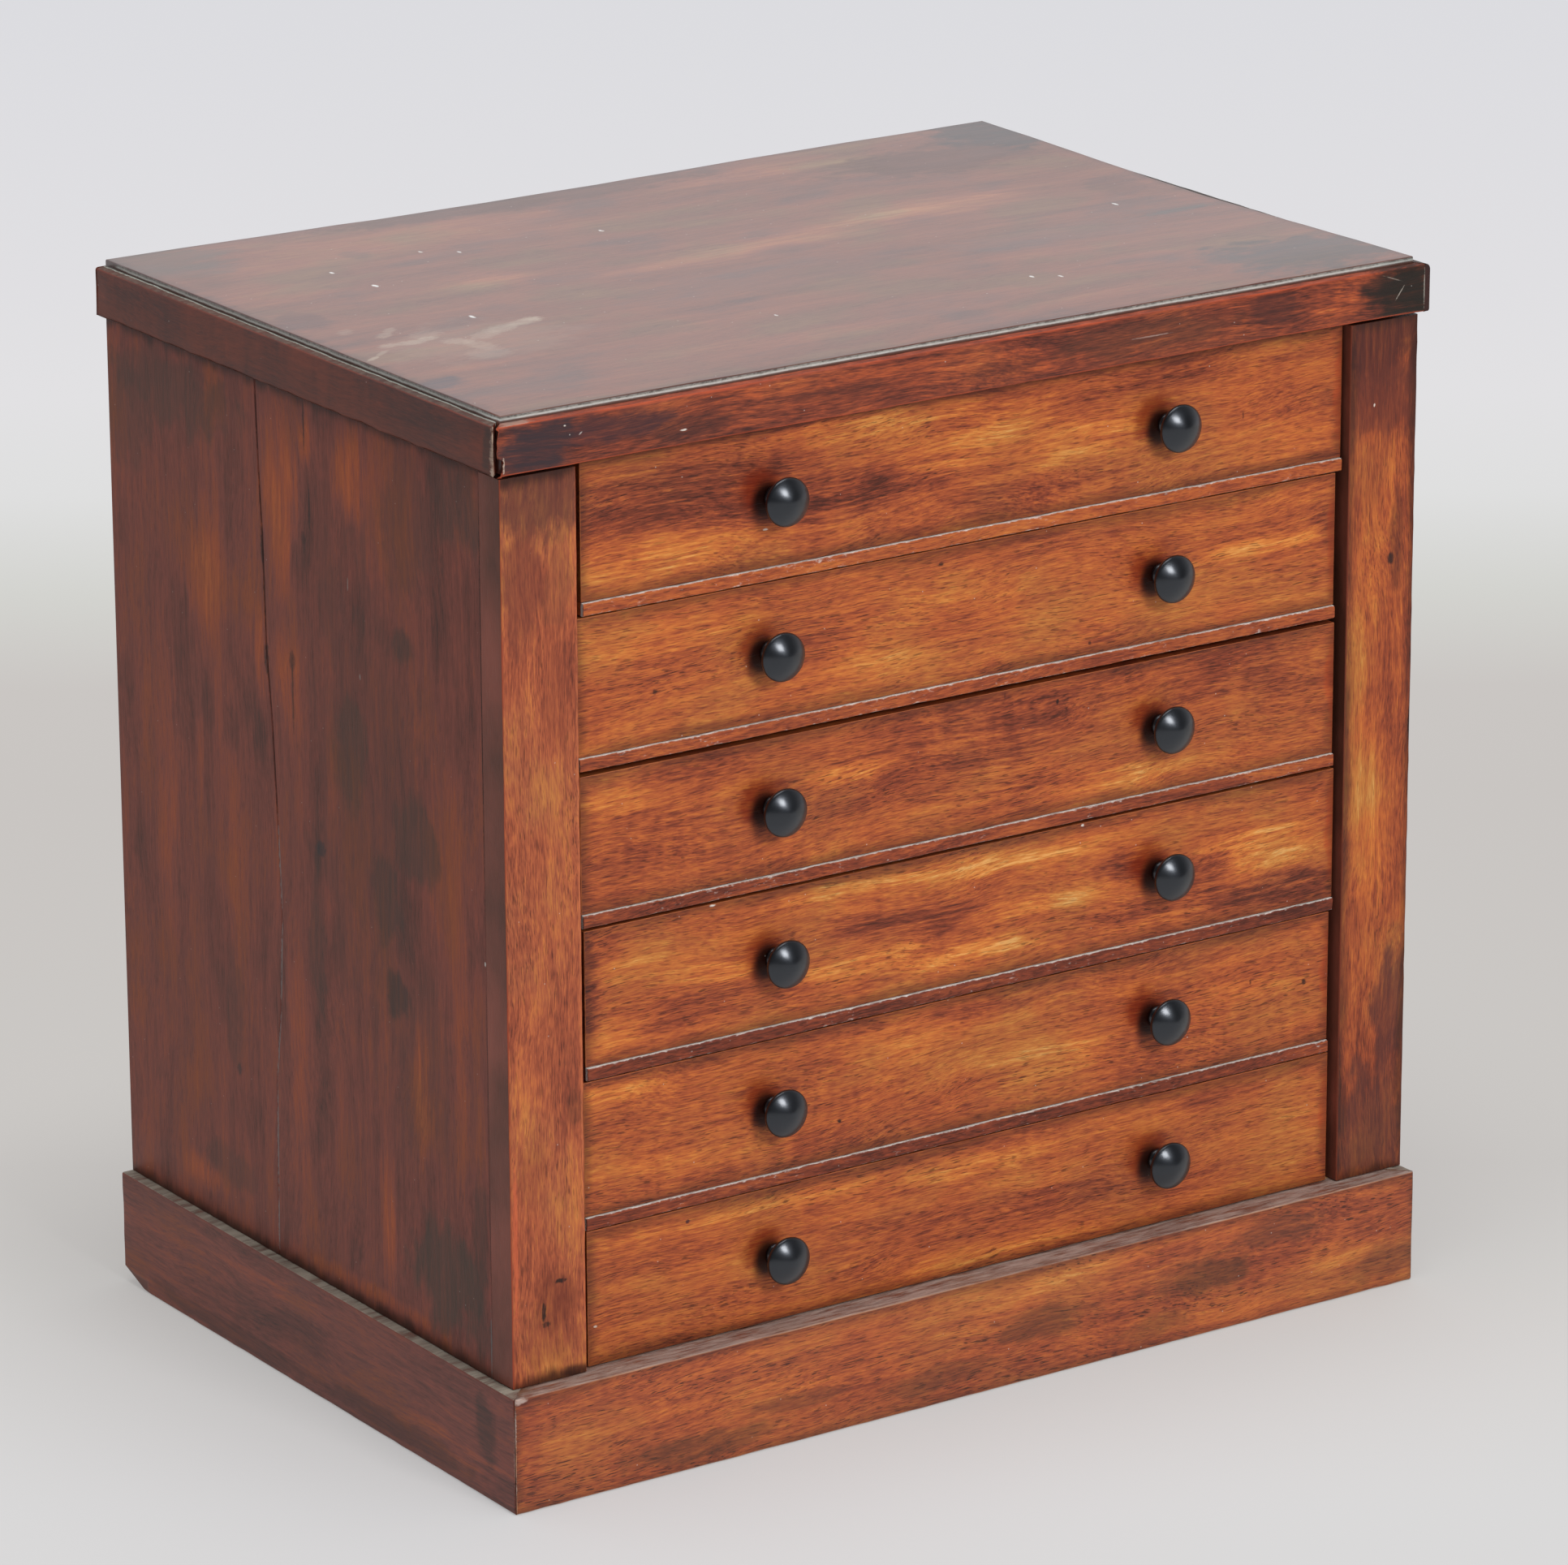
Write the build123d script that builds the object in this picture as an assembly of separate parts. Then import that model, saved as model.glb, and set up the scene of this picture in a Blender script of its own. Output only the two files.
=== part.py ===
from build123d import *
import os

# A collectors chest of six drawers in mahogany, all sizes in millimetres.
# x runs to the right, y to the back and z up. The origin is on the ground, under the middle of
# the whole chest with its knobs. Drawer 1 is the top one.

# Plinth, a frame of four boards that the carcass stands on
plinth_side_ledge = 2.9  # how much wider the plinth is than the carcass, at each side
plinth_depth = 311.0
plinth_height = 49.2
plinth_thickness = 15.0
glue_block_leg = 22.0
glue_block_length = 60.0
glue_blocks_a_side = 2

# Carcass
carcass_width = 444.2
carcass_off_centre = 2.3  # the carcass was glued on this far to the right of the plinth's middle
stile_ledge = 8.7  # plinth top that shows in front of the stiles
stile_width = 35.0
stile_thickness = 15.0
stile_short = 1.3  # the stiles stop this far under the edging
side_thickness = 15.0
bottom_thickness = 12.0
back_thickness = 10.0
back_rebate = 8.0
back_board_count = 3
back_board_gap = 0.8

# Top, a board with thin strips round its front and ends
top_thickness = 23.0
top_inset = 2.0  # edge of the board, inside the carcass's faces
top_back_overhang = 2.5
edging_thickness = 5.0
edging_height = 20.3
open_mitre = 2.2  # the left strip has drawn back from the front corner
edging_round = 1.2

# Drawers
rests_aside = (0.3, -0.6, -0.3, 0.1, -0.4, -0.1)  # share of the side clearance, + to the right
drawer_side_clearance = 2.6
drawer_recess = 3.5  # drawer faces behind the stiles' faces
drawer_back_clearance = 3.8  # between the drawers and the back boards
front_height = 56.1
bottom_front_height = 57.0
front_thickness = 11.0
drawer_gap = 0.5
extra_gap_under = {2: 1.5, 3: 0.7}  # these two drawers have shrunk most
top_gap = 1.0
run_clearance = 0.3
lining_thickness = 7.0
lining_drop = 2.0  # the sides and back stand this much lower than the front
bottom_panel_thickness = 5.0
bottom_panel_lift = 3.0
bottom_panel_groove = 3.0
dovetail_lap = 3.5
dovetail_root = 12.0
dovetail_slope = 6.0
dovetail_count = 2

# Strip under each front but the lowest, which hides the runners behind it
strip_height = 5.8
strip_projection = 1.5
strip_round = 1.0

# Runners and guides at the sides of the drawers
runner_thickness = 5.0
runner_bearing = 12.0  # how far a runner reaches in under a drawer
guide_height = 12.0

# Turned knobs
knob_spacing = 190.5
knob_radius = 10.0
knob_projection = 15.0
knob_rim_height = 10.0
knob_rim_radius = 0.9  # the rim is half round
collar_radius = 4.9
collar_height = 2.4
collar_rounding = 0.7
neck_radius = 3.4
neck_height = 4.8
spindle_radius = 3.0
spindle_clearance = 0.1

# Eased arrises
arris = 0.8
fine_arris = 0.4

# Places that follow from the sizes
plinth_width = carcass_width + 2 * plinth_side_ledge
drawer_numbers = range(1, len(rests_aside) + 1)
lowest_drawer = drawer_numbers[-1]
face_recess = stile_ledge + drawer_recess
whole_front = min(0.0, face_recess - knob_projection)
whole_back = plinth_depth + top_back_overhang
plinth_front_y = -(whole_front + whole_back) / 2
plinth_back_y = plinth_front_y + plinth_depth
plinth_x = -carcass_off_centre / 2
carcass_x = carcass_off_centre / 2
side_faces_x = (carcass_x - carcass_width / 2, carcass_x + carcass_width / 2)
opening_half = carcass_width / 2 - stile_width
stile_front_y = plinth_front_y + stile_ledge
stile_back_y = stile_front_y + stile_thickness
face_y = plinth_front_y + face_recess
back_boards_y = plinth_back_y - back_thickness
drawer_end_y = back_boards_y - drawer_back_clearance
drawer_width = 2 * (opening_half - drawer_side_clearance)


def height_of_front(number):
    return bottom_front_height if number == lowest_drawer else front_height


def front_z(number):
    """Height of the lower edge of a drawer's front, stacked up from the plinth."""
    z = plinth_height + run_clearance
    for lower in range(lowest_drawer, number, -1):
        z += height_of_front(lower) + drawer_gap + extra_gap_under.get(lower - 1, 0.0) + strip_height
    return z


carcass_top_z = front_z(1) + height_of_front(1) + top_gap


def board(x, y, z, ease=arris):
    """A board between the limits given on each axis, with its arrises eased."""
    blank = Box(x[1] - x[0], y[1] - y[0], z[1] - z[0], align=(Align.MIN, Align.MIN, Align.MIN))
    blank = Pos(x[0], y[0], z[0]) * blank
    return fillet(blank.edges(), ease) if ease else blank


def upright_prism(points, z):
    """A solid that stands on the outline given by its points in x and y."""
    outline = make_face(Polyline([(x, y, z[0]) for x, y in points], close=True))
    return extrude(outline, amount=z[1] - z[0], dir=(0, 0, 1))


def long_edges(solid, axis, *, x=None, y=None, z=None):
    """The straight edges along an axis whose middle has the given coordinates."""
    found = solid.edges().filter_by(axis)
    for name, value in (("X", x), ("Y", y), ("Z", z)):
        if value is not None:
            found = [e for e in found if abs(getattr(e.center(), name) - value) < 0.01]
    return found


# Plinth

def plinth_strip_front():
    """The front board of the plinth, mitred at both ends."""
    left, right = plinth_x - plinth_width / 2, plinth_x + plinth_width / 2
    inner_y = plinth_front_y + plinth_thickness
    strip = upright_prism(
        [
            (left, plinth_front_y),
            (right, plinth_front_y),
            (right - plinth_thickness, inner_y),
            (left + plinth_thickness, inner_y),
        ],
        (0, plinth_height),
    )
    upper = long_edges(strip, Axis.X, y=plinth_front_y, z=plinth_height)
    lower = long_edges(strip, Axis.X, y=plinth_front_y, z=0)
    return fillet(upper + lower, arris)


def plinth_strip_side(hand):
    """A side board of the plinth, mitred at the front; hand is -1 for left and 1 for right."""
    outer = plinth_x + hand * plinth_width / 2
    inner = outer - hand * plinth_thickness
    strip = upright_prism(
        [
            (outer, plinth_front_y),
            (inner, plinth_front_y + plinth_thickness),
            (inner, plinth_back_y),
            (outer, plinth_back_y),
        ],
        (0, plinth_height),
    )
    upper = long_edges(strip, Axis.Y, x=outer, z=plinth_height)
    lower = long_edges(strip, Axis.Y, x=outer, z=0)
    return fillet(upper + lower, arris)


def plinth_strip_back():
    half = plinth_width / 2 - plinth_thickness
    return board(
        (plinth_x - half, plinth_x + half),
        (plinth_back_y - plinth_thickness, plinth_back_y),
        (0, plinth_height),
        fine_arris,
    )


def carcass_bottom():
    """The bottom board, let into the plinth flush with its top; the lowest drawer runs on it."""
    half = plinth_width / 2 - plinth_thickness
    return board(
        (plinth_x - half, plinth_x + half),
        (plinth_front_y + plinth_thickness, plinth_back_y - plinth_thickness),
        (plinth_height - bottom_thickness, plinth_height),
        0,
    )


def glue_blocks():
    """Three-cornered blocks in the angle of the plinth boards and the bottom board."""
    top_z = plinth_height - bottom_thickness
    half_x = plinth_width / 2 - plinth_thickness
    front_y, back_y = plinth_front_y + plinth_thickness, plinth_back_y - plinth_thickness
    profile = [(0, 0), (glue_block_leg, 0), (0, -glue_block_leg)]
    blocks = []
    for step in range(glue_blocks_a_side):
        share = (step + 1) / (glue_blocks_a_side + 1)
        along_x = plinth_x + (2 * share - 1) * half_x
        along_y = front_y + share * (back_y - front_y)
        for wall_y, inward in ((front_y, 1), (back_y, -1)):
            points = [(along_x - glue_block_length / 2, wall_y + inward * a, top_z + b) for a, b in profile]
            face = make_face(Polyline(points, close=True))
            blocks.append(extrude(face, amount=glue_block_length, dir=(1, 0, 0)))
        for wall_x, inward in ((plinth_x - half_x, 1), (plinth_x + half_x, -1)):
            points = [(wall_x + inward * a, along_y - glue_block_length / 2, top_z + b) for a, b in profile]
            face = make_face(Polyline(points, close=True))
            blocks.append(extrude(face, amount=glue_block_length, dir=(0, 1, 0)))
    return Compound(children=[block.solid() for block in blocks])


# Carcass

def carcass_side(hand):
    """A side board, with a rebate for the back boards."""
    outer = carcass_x + hand * carcass_width / 2
    inner = outer - hand * side_thickness
    height = (plinth_height, carcass_top_z)
    side = board(sorted((outer, inner)), (stile_back_y, plinth_back_y), height, fine_arris)
    rebate = board(sorted((inner, inner + hand * back_rebate)), (back_boards_y, plinth_back_y), height, 0)
    return side - rebate


def stile(hand):
    """The upright board that covers the front edge of a side and the ends of the runners."""
    outer = carcass_x + hand * carcass_width / 2
    inner = outer - hand * stile_width
    height = (plinth_height, carcass_top_z - stile_short)
    return board(sorted((outer, inner)), (stile_front_y, stile_back_y), height, arris)


def back_boards():
    """Level boards across the back, one above the other, with shrinkage gaps between them."""
    half = carcass_width / 2 - side_thickness + back_rebate
    room = carcass_top_z - plinth_height - (back_board_count - 1) * back_board_gap
    height = room / back_board_count
    boards = []
    for step in range(back_board_count):
        low = plinth_height + step * (height + back_board_gap)
        limits_x = (carcass_x - half, carcass_x + half)
        boards.append(board(limits_x, (back_boards_y, plinth_back_y), (low, low + height), fine_arris))
    return Compound(children=[item.solid() for item in boards])


def runner_z(number):
    """Lower and upper face of the runners that carry a drawer."""
    upper = front_z(number) - run_clearance
    return upper - runner_thickness, upper


def runners(hand):
    """The runners of all drawers but the lowest, on one side of the chest."""
    outer = carcass_x + hand * (carcass_width / 2 - side_thickness)
    inner = carcass_x + hand * (opening_half - runner_bearing)
    limits_y = (stile_back_y, back_boards_y)
    strips = [board(sorted((outer, inner)), limits_y, runner_z(number), 0) for number in drawer_numbers[:-1]]
    return Compound(children=[strip.solid() for strip in strips])


def guides(hand):
    """Strips on the runners, and on the bottom board, that keep the drawers straight."""
    outer = carcass_x + hand * (carcass_width / 2 - side_thickness)
    inner = carcass_x + hand * opening_half
    strips = []
    for number in drawer_numbers:
        low = plinth_height if number == lowest_drawer else runner_z(number)[1]
        limits_z = (low, low + guide_height)
        strips.append(board(sorted((outer, inner)), (stile_back_y, back_boards_y), limits_z, 0))
    return Compound(children=[strip.solid() for strip in strips])


# Top

top_left_x, top_right_x = side_faces_x[0] + top_inset, side_faces_x[1] - top_inset
top_front_y = stile_front_y + top_inset
top_back_y = plinth_back_y + top_back_overhang
edging_left_x, edging_right_x = top_left_x - edging_thickness, top_right_x + edging_thickness
edging_front_y = top_front_y - edging_thickness
edging_z = (carcass_top_z, carcass_top_z + edging_height)


def top_board():
    limits_z = (carcass_top_z, carcass_top_z + top_thickness)
    blank = board((top_left_x, top_right_x), (top_front_y, top_back_y), limits_z, 0)
    upper = blank.faces().sort_by(Axis.Z)[-1]
    return fillet(upper.edges(), arris)


def edging_front():
    strip = upright_prism(
        [
            (edging_left_x, edging_front_y),
            (edging_right_x, edging_front_y),
            (top_right_x, top_front_y),
            (top_left_x, top_front_y),
        ],
        edging_z,
    )
    strip = fillet(long_edges(strip, Axis.X, y=edging_front_y, z=edging_z[1]), edging_round)
    return fillet(long_edges(strip, Axis.X, y=edging_front_y, z=edging_z[0]), fine_arris)


def edging_side(hand):
    """The strip along one end of the top; the left one has drawn back from its mitre."""
    outer, inner = (edging_left_x, top_left_x) if hand < 0 else (edging_right_x, top_right_x)
    back_off = open_mitre if hand < 0 else 0.0
    strip = upright_prism(
        [
            (outer, edging_front_y + back_off),
            (inner, top_front_y + back_off),
            (inner, top_back_y),
            (outer, top_back_y),
        ],
        edging_z,
    )
    strip = fillet(long_edges(strip, Axis.Y, x=outer, z=edging_z[1]), edging_round)
    return fillet(long_edges(strip, Axis.Y, x=outer, z=edging_z[0]), fine_arris)


# Drawers

def drawer_x(number):
    """Middle of a drawer, which rests a little to one side of the opening."""
    return carcass_x + rests_aside[number - 1] * drawer_side_clearance


def dovetails(x, y_root, y_tip, z):
    """Tails spread evenly over the height z, wider at the tip than at the root."""
    flare = abs(y_tip - y_root) / dovetail_slope
    share = (z[1] - z[0]) / dovetail_count
    tails = []
    for step in range(dovetail_count):
        middle = z[0] + (step + 0.5) * share
        root, tip = dovetail_root / 2, dovetail_root / 2 + flare
        points = [
            (x[0], y_root, middle - root),
            (x[0], y_tip, middle - tip),
            (x[0], y_tip, middle + tip),
            (x[0], y_root, middle + root),
        ]
        tails.append(extrude(make_face(Polyline(points, close=True)), amount=x[1] - x[0], dir=(1, 0, 0)))
    return tails


def knob():
    """A turned knob on its spindle, at the origin, standing out towards -y."""
    collar_foot = (collar_radius - collar_rounding, 0)
    collar_side = (collar_radius, collar_height / 2)
    collar_end = (collar_radius - collar_rounding, collar_height)
    under_rim = (knob_radius - knob_rim_radius, knob_rim_height - knob_rim_radius)
    rim_edge = (knob_radius, knob_rim_height)
    over_rim = (knob_radius - knob_rim_radius, knob_rim_height + knob_rim_radius)
    crown = (0, knob_projection)
    spindle_end = -front_thickness
    profile = (
        Polyline(crown, (0, spindle_end), (spindle_radius, spindle_end), (spindle_radius, 0), collar_foot)
        + ThreePointArc(collar_foot, collar_side, collar_end)
        + ThreePointArc(collar_end, (neck_radius, neck_height), under_rim)
        + ThreePointArc(under_rim, rim_edge, over_rim)
        + TangentArc(crown, over_rim, tangent=(1, 0))
    )
    return Rot(0, 0, 180) * revolve(make_face(profile), axis=Axis.Y)


def drawer(number):
    """All the pieces of one drawer, by name."""
    middle = drawer_x(number)
    left, right = middle - drawer_width / 2, middle + drawer_width / 2
    low = front_z(number)
    high = low + height_of_front(number)
    lining_high = high - lining_drop
    front_back_y = face_y + front_thickness
    panel_z = (low + bottom_panel_lift, low + bottom_panel_lift + bottom_panel_thickness)
    knob_z = (low + high) / 2

    inner_left, inner_right = left + lining_thickness, right - lining_thickness
    bottom = board(
        (inner_left - bottom_panel_groove, inner_right + bottom_panel_groove),
        (front_back_y - bottom_panel_groove, drawer_end_y),
        panel_z,
        0,
    )

    pieces = {"bottom": bottom}
    front = board((left, right), (face_y, front_back_y), (low, high), fine_arris)
    back = board((left, right), (drawer_end_y - lining_thickness, drawer_end_y), (panel_z[1], lining_high), 0)
    for name, x in (("left_side", (left, inner_left)), ("right_side", (inner_right, right))):
        front_tails = dovetails(x, front_back_y, face_y + dovetail_lap, (low, lining_high))
        back_tails = dovetails(x, drawer_end_y - lining_thickness, drawer_end_y, (panel_z[1], lining_high))
        side = board(x, (front_back_y, drawer_end_y), (low, lining_high), 0)
        side = side - board(x, (drawer_end_y - lining_thickness, drawer_end_y), (panel_z[1], lining_high), 0)
        for tail in front_tails + back_tails:
            side = side + tail
        for tail in front_tails:
            front = front - tail
        for tail in back_tails:
            back = back - tail
        pieces[name] = side - bottom
    front = front - bottom

    knobs = []
    drill = Rot(90, 0, 0) * Cylinder(spindle_radius + spindle_clearance, 2 * front_thickness)
    hole = Pos(0, front_thickness / 2, 0) * drill
    for hand in (-1, 1):
        place = Pos(middle + hand * knob_spacing / 2, face_y, knob_z)
        front = front - place * hole
        knobs.append(place * knob())
    pieces["front"] = front
    pieces["back"] = back
    pieces["knobs"] = Compound(children=[item.solid() for item in knobs])

    if number != lowest_drawer:
        strip = board((left, right), (face_y - strip_projection, front_back_y), (low - strip_height, low), 0)
        outer = long_edges(strip, Axis.X, y=face_y - strip_projection)
        pieces["strip"] = fillet(outer, strip_round)
    return pieces


parts = {
    "plinth_front": plinth_strip_front(),
    "plinth_left": plinth_strip_side(-1),
    "plinth_right": plinth_strip_side(1),
    "plinth_back": plinth_strip_back(),
    "plinth_glue_blocks": glue_blocks(),
    "bottom_board": carcass_bottom(),
    "left_side": carcass_side(-1),
    "right_side": carcass_side(1),
    "left_stile": stile(-1),
    "right_stile": stile(1),
    "back_boards": back_boards(),
    "left_runners": runners(-1),
    "right_runners": runners(1),
    "left_guides": guides(-1),
    "right_guides": guides(1),
    "top_board": top_board(),
    "edging_front": edging_front(),
    "edging_left": edging_side(-1),
    "edging_right": edging_side(1),
}
for drawer_number in drawer_numbers:
    for piece, shape in drawer(drawer_number).items():
        parts[f"drawer_{drawer_number}_{piece}"] = shape

os.makedirs("parts", exist_ok=True)
for node, shape in parts.items():
    export_step(shape, f"parts/{node}.step")
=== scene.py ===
import math
from types import SimpleNamespace

import bpy
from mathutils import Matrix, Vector


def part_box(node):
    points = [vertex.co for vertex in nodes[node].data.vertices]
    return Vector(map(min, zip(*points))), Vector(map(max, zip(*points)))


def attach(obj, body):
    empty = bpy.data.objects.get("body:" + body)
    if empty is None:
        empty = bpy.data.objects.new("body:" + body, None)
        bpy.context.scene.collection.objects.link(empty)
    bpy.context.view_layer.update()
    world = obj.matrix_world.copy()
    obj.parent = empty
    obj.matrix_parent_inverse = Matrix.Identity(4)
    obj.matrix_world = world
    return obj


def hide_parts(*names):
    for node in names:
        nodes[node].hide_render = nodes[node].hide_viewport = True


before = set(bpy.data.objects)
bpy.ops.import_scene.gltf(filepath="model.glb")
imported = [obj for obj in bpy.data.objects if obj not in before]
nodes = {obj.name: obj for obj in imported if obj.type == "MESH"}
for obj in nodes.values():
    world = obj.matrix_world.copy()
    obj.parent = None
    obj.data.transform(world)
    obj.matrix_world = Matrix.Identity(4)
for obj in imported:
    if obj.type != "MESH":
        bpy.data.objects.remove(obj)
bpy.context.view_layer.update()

MM = 0.001
X, Y, Z = 0, 1, 2
DRAWERS = range(1, 7)

# Camera, where the photographer stood, and how the picture was framed
CAMERA_PLACE = (-1.7337, -2.5771, 1.2120)
CAMERA_TURN = (72.3117, 0.2393, -34.1261)
CAMERA_LENS = 179.84
SENSOR_WIDTH = 36.0


# Shaping tools

def select_only(piece):
    bpy.ops.object.select_all(action="DESELECT")
    piece.select_set(True)
    bpy.context.view_layer.objects.active = piece


def new_block(name, low, high):
    """A block of wood between two corners, in metres, with its place in its mesh."""
    bpy.ops.object.select_all(action="DESELECT")
    bpy.ops.mesh.primitive_cube_add(size=1, location=[(a + b) / 2 for a, b in zip(low, high)])
    block = bpy.context.object
    block.name = block.data.name = name
    block.scale = [b - a for a, b in zip(low, high)]
    bpy.ops.object.transform_apply(location=True, rotation=True, scale=True)
    return block


def saw(piece, place, away):
    """Saws off what lies beyond a plane; the cut is closed with a flat face."""
    select_only(piece)
    bpy.ops.object.mode_set(mode="EDIT")
    bpy.ops.mesh.select_all(action="SELECT")
    bpy.ops.mesh.bisect(plane_co=place, plane_no=Vector(away).normalized(), use_fill=True, clear_outer=True)
    bpy.ops.object.mode_set(mode="OBJECT")


def score(piece, axis, places):
    """Lines across a piece at each place along an axis, so that it can be bent or worn there."""
    select_only(piece)
    across = [float(i == axis) for i in range(3)]
    bpy.ops.object.mode_set(mode="EDIT")
    for place in places:
        bpy.ops.mesh.select_all(action="SELECT")
        bpy.ops.mesh.bisect(plane_co=[place * a for a in across], plane_no=across)
    bpy.ops.object.mode_set(mode="OBJECT")


def steps(start, end, length):
    """Places spread evenly between two ends, about as far apart as the given length."""
    count = max(1, round((end - start) / length))
    return [start + (end - start) * i / count for i in range(1, count)]


def pick(piece, kind, wanted):
    """Selects the points, edges or faces that pass a test, and leaves the piece in edit mode."""
    select_only(piece)
    bpy.ops.object.mode_set(mode="EDIT")
    bpy.ops.mesh.select_mode(type=kind)
    bpy.ops.mesh.select_all(action="DESELECT")
    bpy.ops.object.mode_set(mode="OBJECT")
    mesh = piece.data
    if kind == "VERT":
        for spot in mesh.vertices:
            spot.select = wanted(spot.co)
    elif kind == "EDGE":
        for edge in mesh.edges:
            start, end = (mesh.vertices[i].co for i in edge.vertices)
            edge.select = wanted((start + end) / 2, end - start)
    else:
        for face in mesh.polygons:
            face.select = wanted(face.center, face.normal)
    bpy.ops.object.mode_set(mode="EDIT")


def push(piece, wanted, move):
    """Moves the points that pass a test."""
    pick(piece, "VERT", wanted)
    bpy.ops.transform.translate(value=move)
    bpy.ops.object.mode_set(mode="OBJECT")


def round_edges(piece, width, wanted, segments=4):
    """Rounds the edges whose middle and direction pass a test."""
    pick(piece, "EDGE", wanted)
    bpy.ops.mesh.bevel(offset=width, segments=segments, affect="EDGES")
    bpy.ops.object.mode_set(mode="OBJECT")


def finish(piece, modifier):
    select_only(piece)
    bpy.ops.object.modifier_apply(modifier=modifier.name)


def ease(piece, width, segments=2):
    """Takes the sharpness off every arris that is still square."""
    bevel = piece.modifiers.new("eased", "BEVEL")
    bevel.width = width
    bevel.segments = segments
    bevel.limit_method = "ANGLE"
    bevel.angle_limit = math.radians(35)
    finish(piece, bevel)


def wear(piece, depth, size, wanted=None):
    """Wears the arrises of a piece unevenly, always inwards; its flat faces stay true."""
    pick(piece, "FACE", lambda c, n: max(abs(a) for a in n) < 0.999 and (wanted is None or wanted(c)))
    bpy.ops.object.vertex_group_add()
    bpy.ops.object.vertex_group_assign()
    bpy.ops.object.mode_set(mode="OBJECT")
    texture = bpy.data.textures.new(piece.name + " wear", "CLOUDS")
    texture.noise_scale = size
    worn = piece.modifiers.new("worn", "DISPLACE")
    worn.vertex_group = piece.vertex_groups[-1].name
    worn.texture = texture
    worn.strength = depth
    worn.mid_level = 1.0
    finish(piece, worn)
    bpy.data.textures.remove(texture)


def dress(piece, material, body, slot, *replaced):
    """Gives a finished piece its smooth shading, material and body."""
    select_only(piece)
    bpy.ops.object.shade_smooth()
    weighted = piece.modifiers.new("flat faces stay flat", "WEIGHTED_NORMAL")
    weighted.keep_sharp = True
    finish(piece, weighted)
    piece.data.materials.clear()
    piece.data.materials.append(material)
    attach(piece, body)
    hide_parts(*replaced)


def paint(node, material):
    nodes[node].data.materials.clear()
    nodes[node].data.materials.append(material)

# Material tools

SMOOTH = {"interpolation_type": "SMOOTHSTEP"}  # a range that eases in and out
COLOURS = {"data_type": "RGBA"}  # a mix of two colours, which are inputs 6 and 7 and output 2
CONTRAST = 2.5  # noise keeps close to its middle, so its swing is stretched by this


def linear(code):
    """An sRGB hex colour as the linear values that a shader takes."""
    channels = [int(code[i : i + 2], 16) / 255 for i in (1, 3, 5)]
    return [c / 12.92 if c <= 0.04045 else ((c + 0.055) / 1.055) ** 2.4 for c in channels] + [1.0]


def connect(node, inputs):
    """Links or sets a node's inputs, which are given by name or in order."""
    for key, value in inputs.items() if isinstance(inputs, dict) else enumerate(inputs):
        if isinstance(value, bpy.types.NodeSocket):
            node.id_data.links.new(value, node.inputs[key])
        else:
            node.inputs[key].default_value = value


def add(tree, kind, inputs=(), out=0, stops=(), **settings):
    """Adds one node with its inputs, its settings and, on a colour ramp, its stops of places and hex
    colours. Gives back one of its outputs."""
    new = tree.nodes.new("ShaderNode" + kind)
    for name, value in settings.items():
        setattr(new, name, value)
    connect(new, inputs)
    if stops:
        elements = new.color_ramp.elements
        while len(elements) < len(stops):
            elements.new(0.5)
        for element, (place, code) in zip(elements, stops):
            element.position = place
            element.color = linear(code)
    return new.outputs[out]


def new_material(name):
    """A material, with its tree and its shader."""
    material = bpy.data.materials.new(name)
    material.use_nodes = True
    tree = material.node_tree
    return material, tree, tree.nodes["Principled BSDF"]


def in_millimetres(tree):
    return add(tree, "Mapping", {0: add(tree, "TexCoord", out=3), "Scale": (1000, 1000, 1000)})


def mottle(tree, vector, lengths, detail=2.0, roughness=0.5):
    """Noise whose blobs have the given lengths in millimetres on each axis."""
    scaled = add(tree, "VectorMath", (vector, [1 / a for a in lengths]), operation="MULTIPLY")
    return add(tree, "TexNoise", {"Vector": scaled, "Scale": 1.0, "Detail": detail, "Roughness": roughness})


def tearing(tree, noise, spread):
    """Shifts to every side, up to half the spread, that tear the outline of an oval."""
    middle = [-spread / 2] * 3
    return add(tree, "Mapping", {0: noise.node.outputs[1], "Location": middle, "Scale": [spread] * 3})


def spot(tree, place, oval, torn, inner, outer):
    """How much of a place lies in a soft oval: 1 within its inner share, and 0 past its outer one."""
    centre, reach, turn = oval
    local = add(tree, "Mapping", (place, centre, turn, reach), vector_type="TEXTURE")
    if torn:
        local = add(tree, "VectorMath", (local, torn), operation="ADD")
    away = add(tree, "VectorMath", (local,), 1, operation="LENGTH")
    return add(tree, "MapRange", (away, inner, outer, 1.0, 0.0), **SMOOTH)


def cover(tree, colour, coats):
    """Lays coats over a colour: each has its share at every place, and a hex colour or a colour's output."""
    for share, code in coats:
        over = linear(code) if isinstance(code, str) else code
        colour = add(tree, "Mix", {0: share, 6: colour, 7: over}, 2, **COLOURS)
    return colour


# Ovals in millimetres for a patch, stain or mark on one face: its middle, its reach to each side, and its
# turn, which is given in degrees

STRAIGHT = (0, 0, 0)


def on_front(x, z, reach_x, reach_z, turn=0):
    return (x, -140, z), (reach_x, 400, reach_z), (0, math.radians(-turn), 0)


def on_side(y, z, reach_y, reach_z, turn=0):
    """Only the left side, which the photograph shows."""
    return (-223, y, z), (60, reach_y, reach_z), (math.radians(turn), 0, 0)


def on_top(x, y, reach_x, reach_y, turn=0):
    return (x, y, 440), (reach_x, reach_y, 400), (0, 0, math.radians(turn))


def on_back(x, z, reach_x, reach_z):
    return (x, 157, z), (reach_x, 40, reach_z), STRAIGHT


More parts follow.
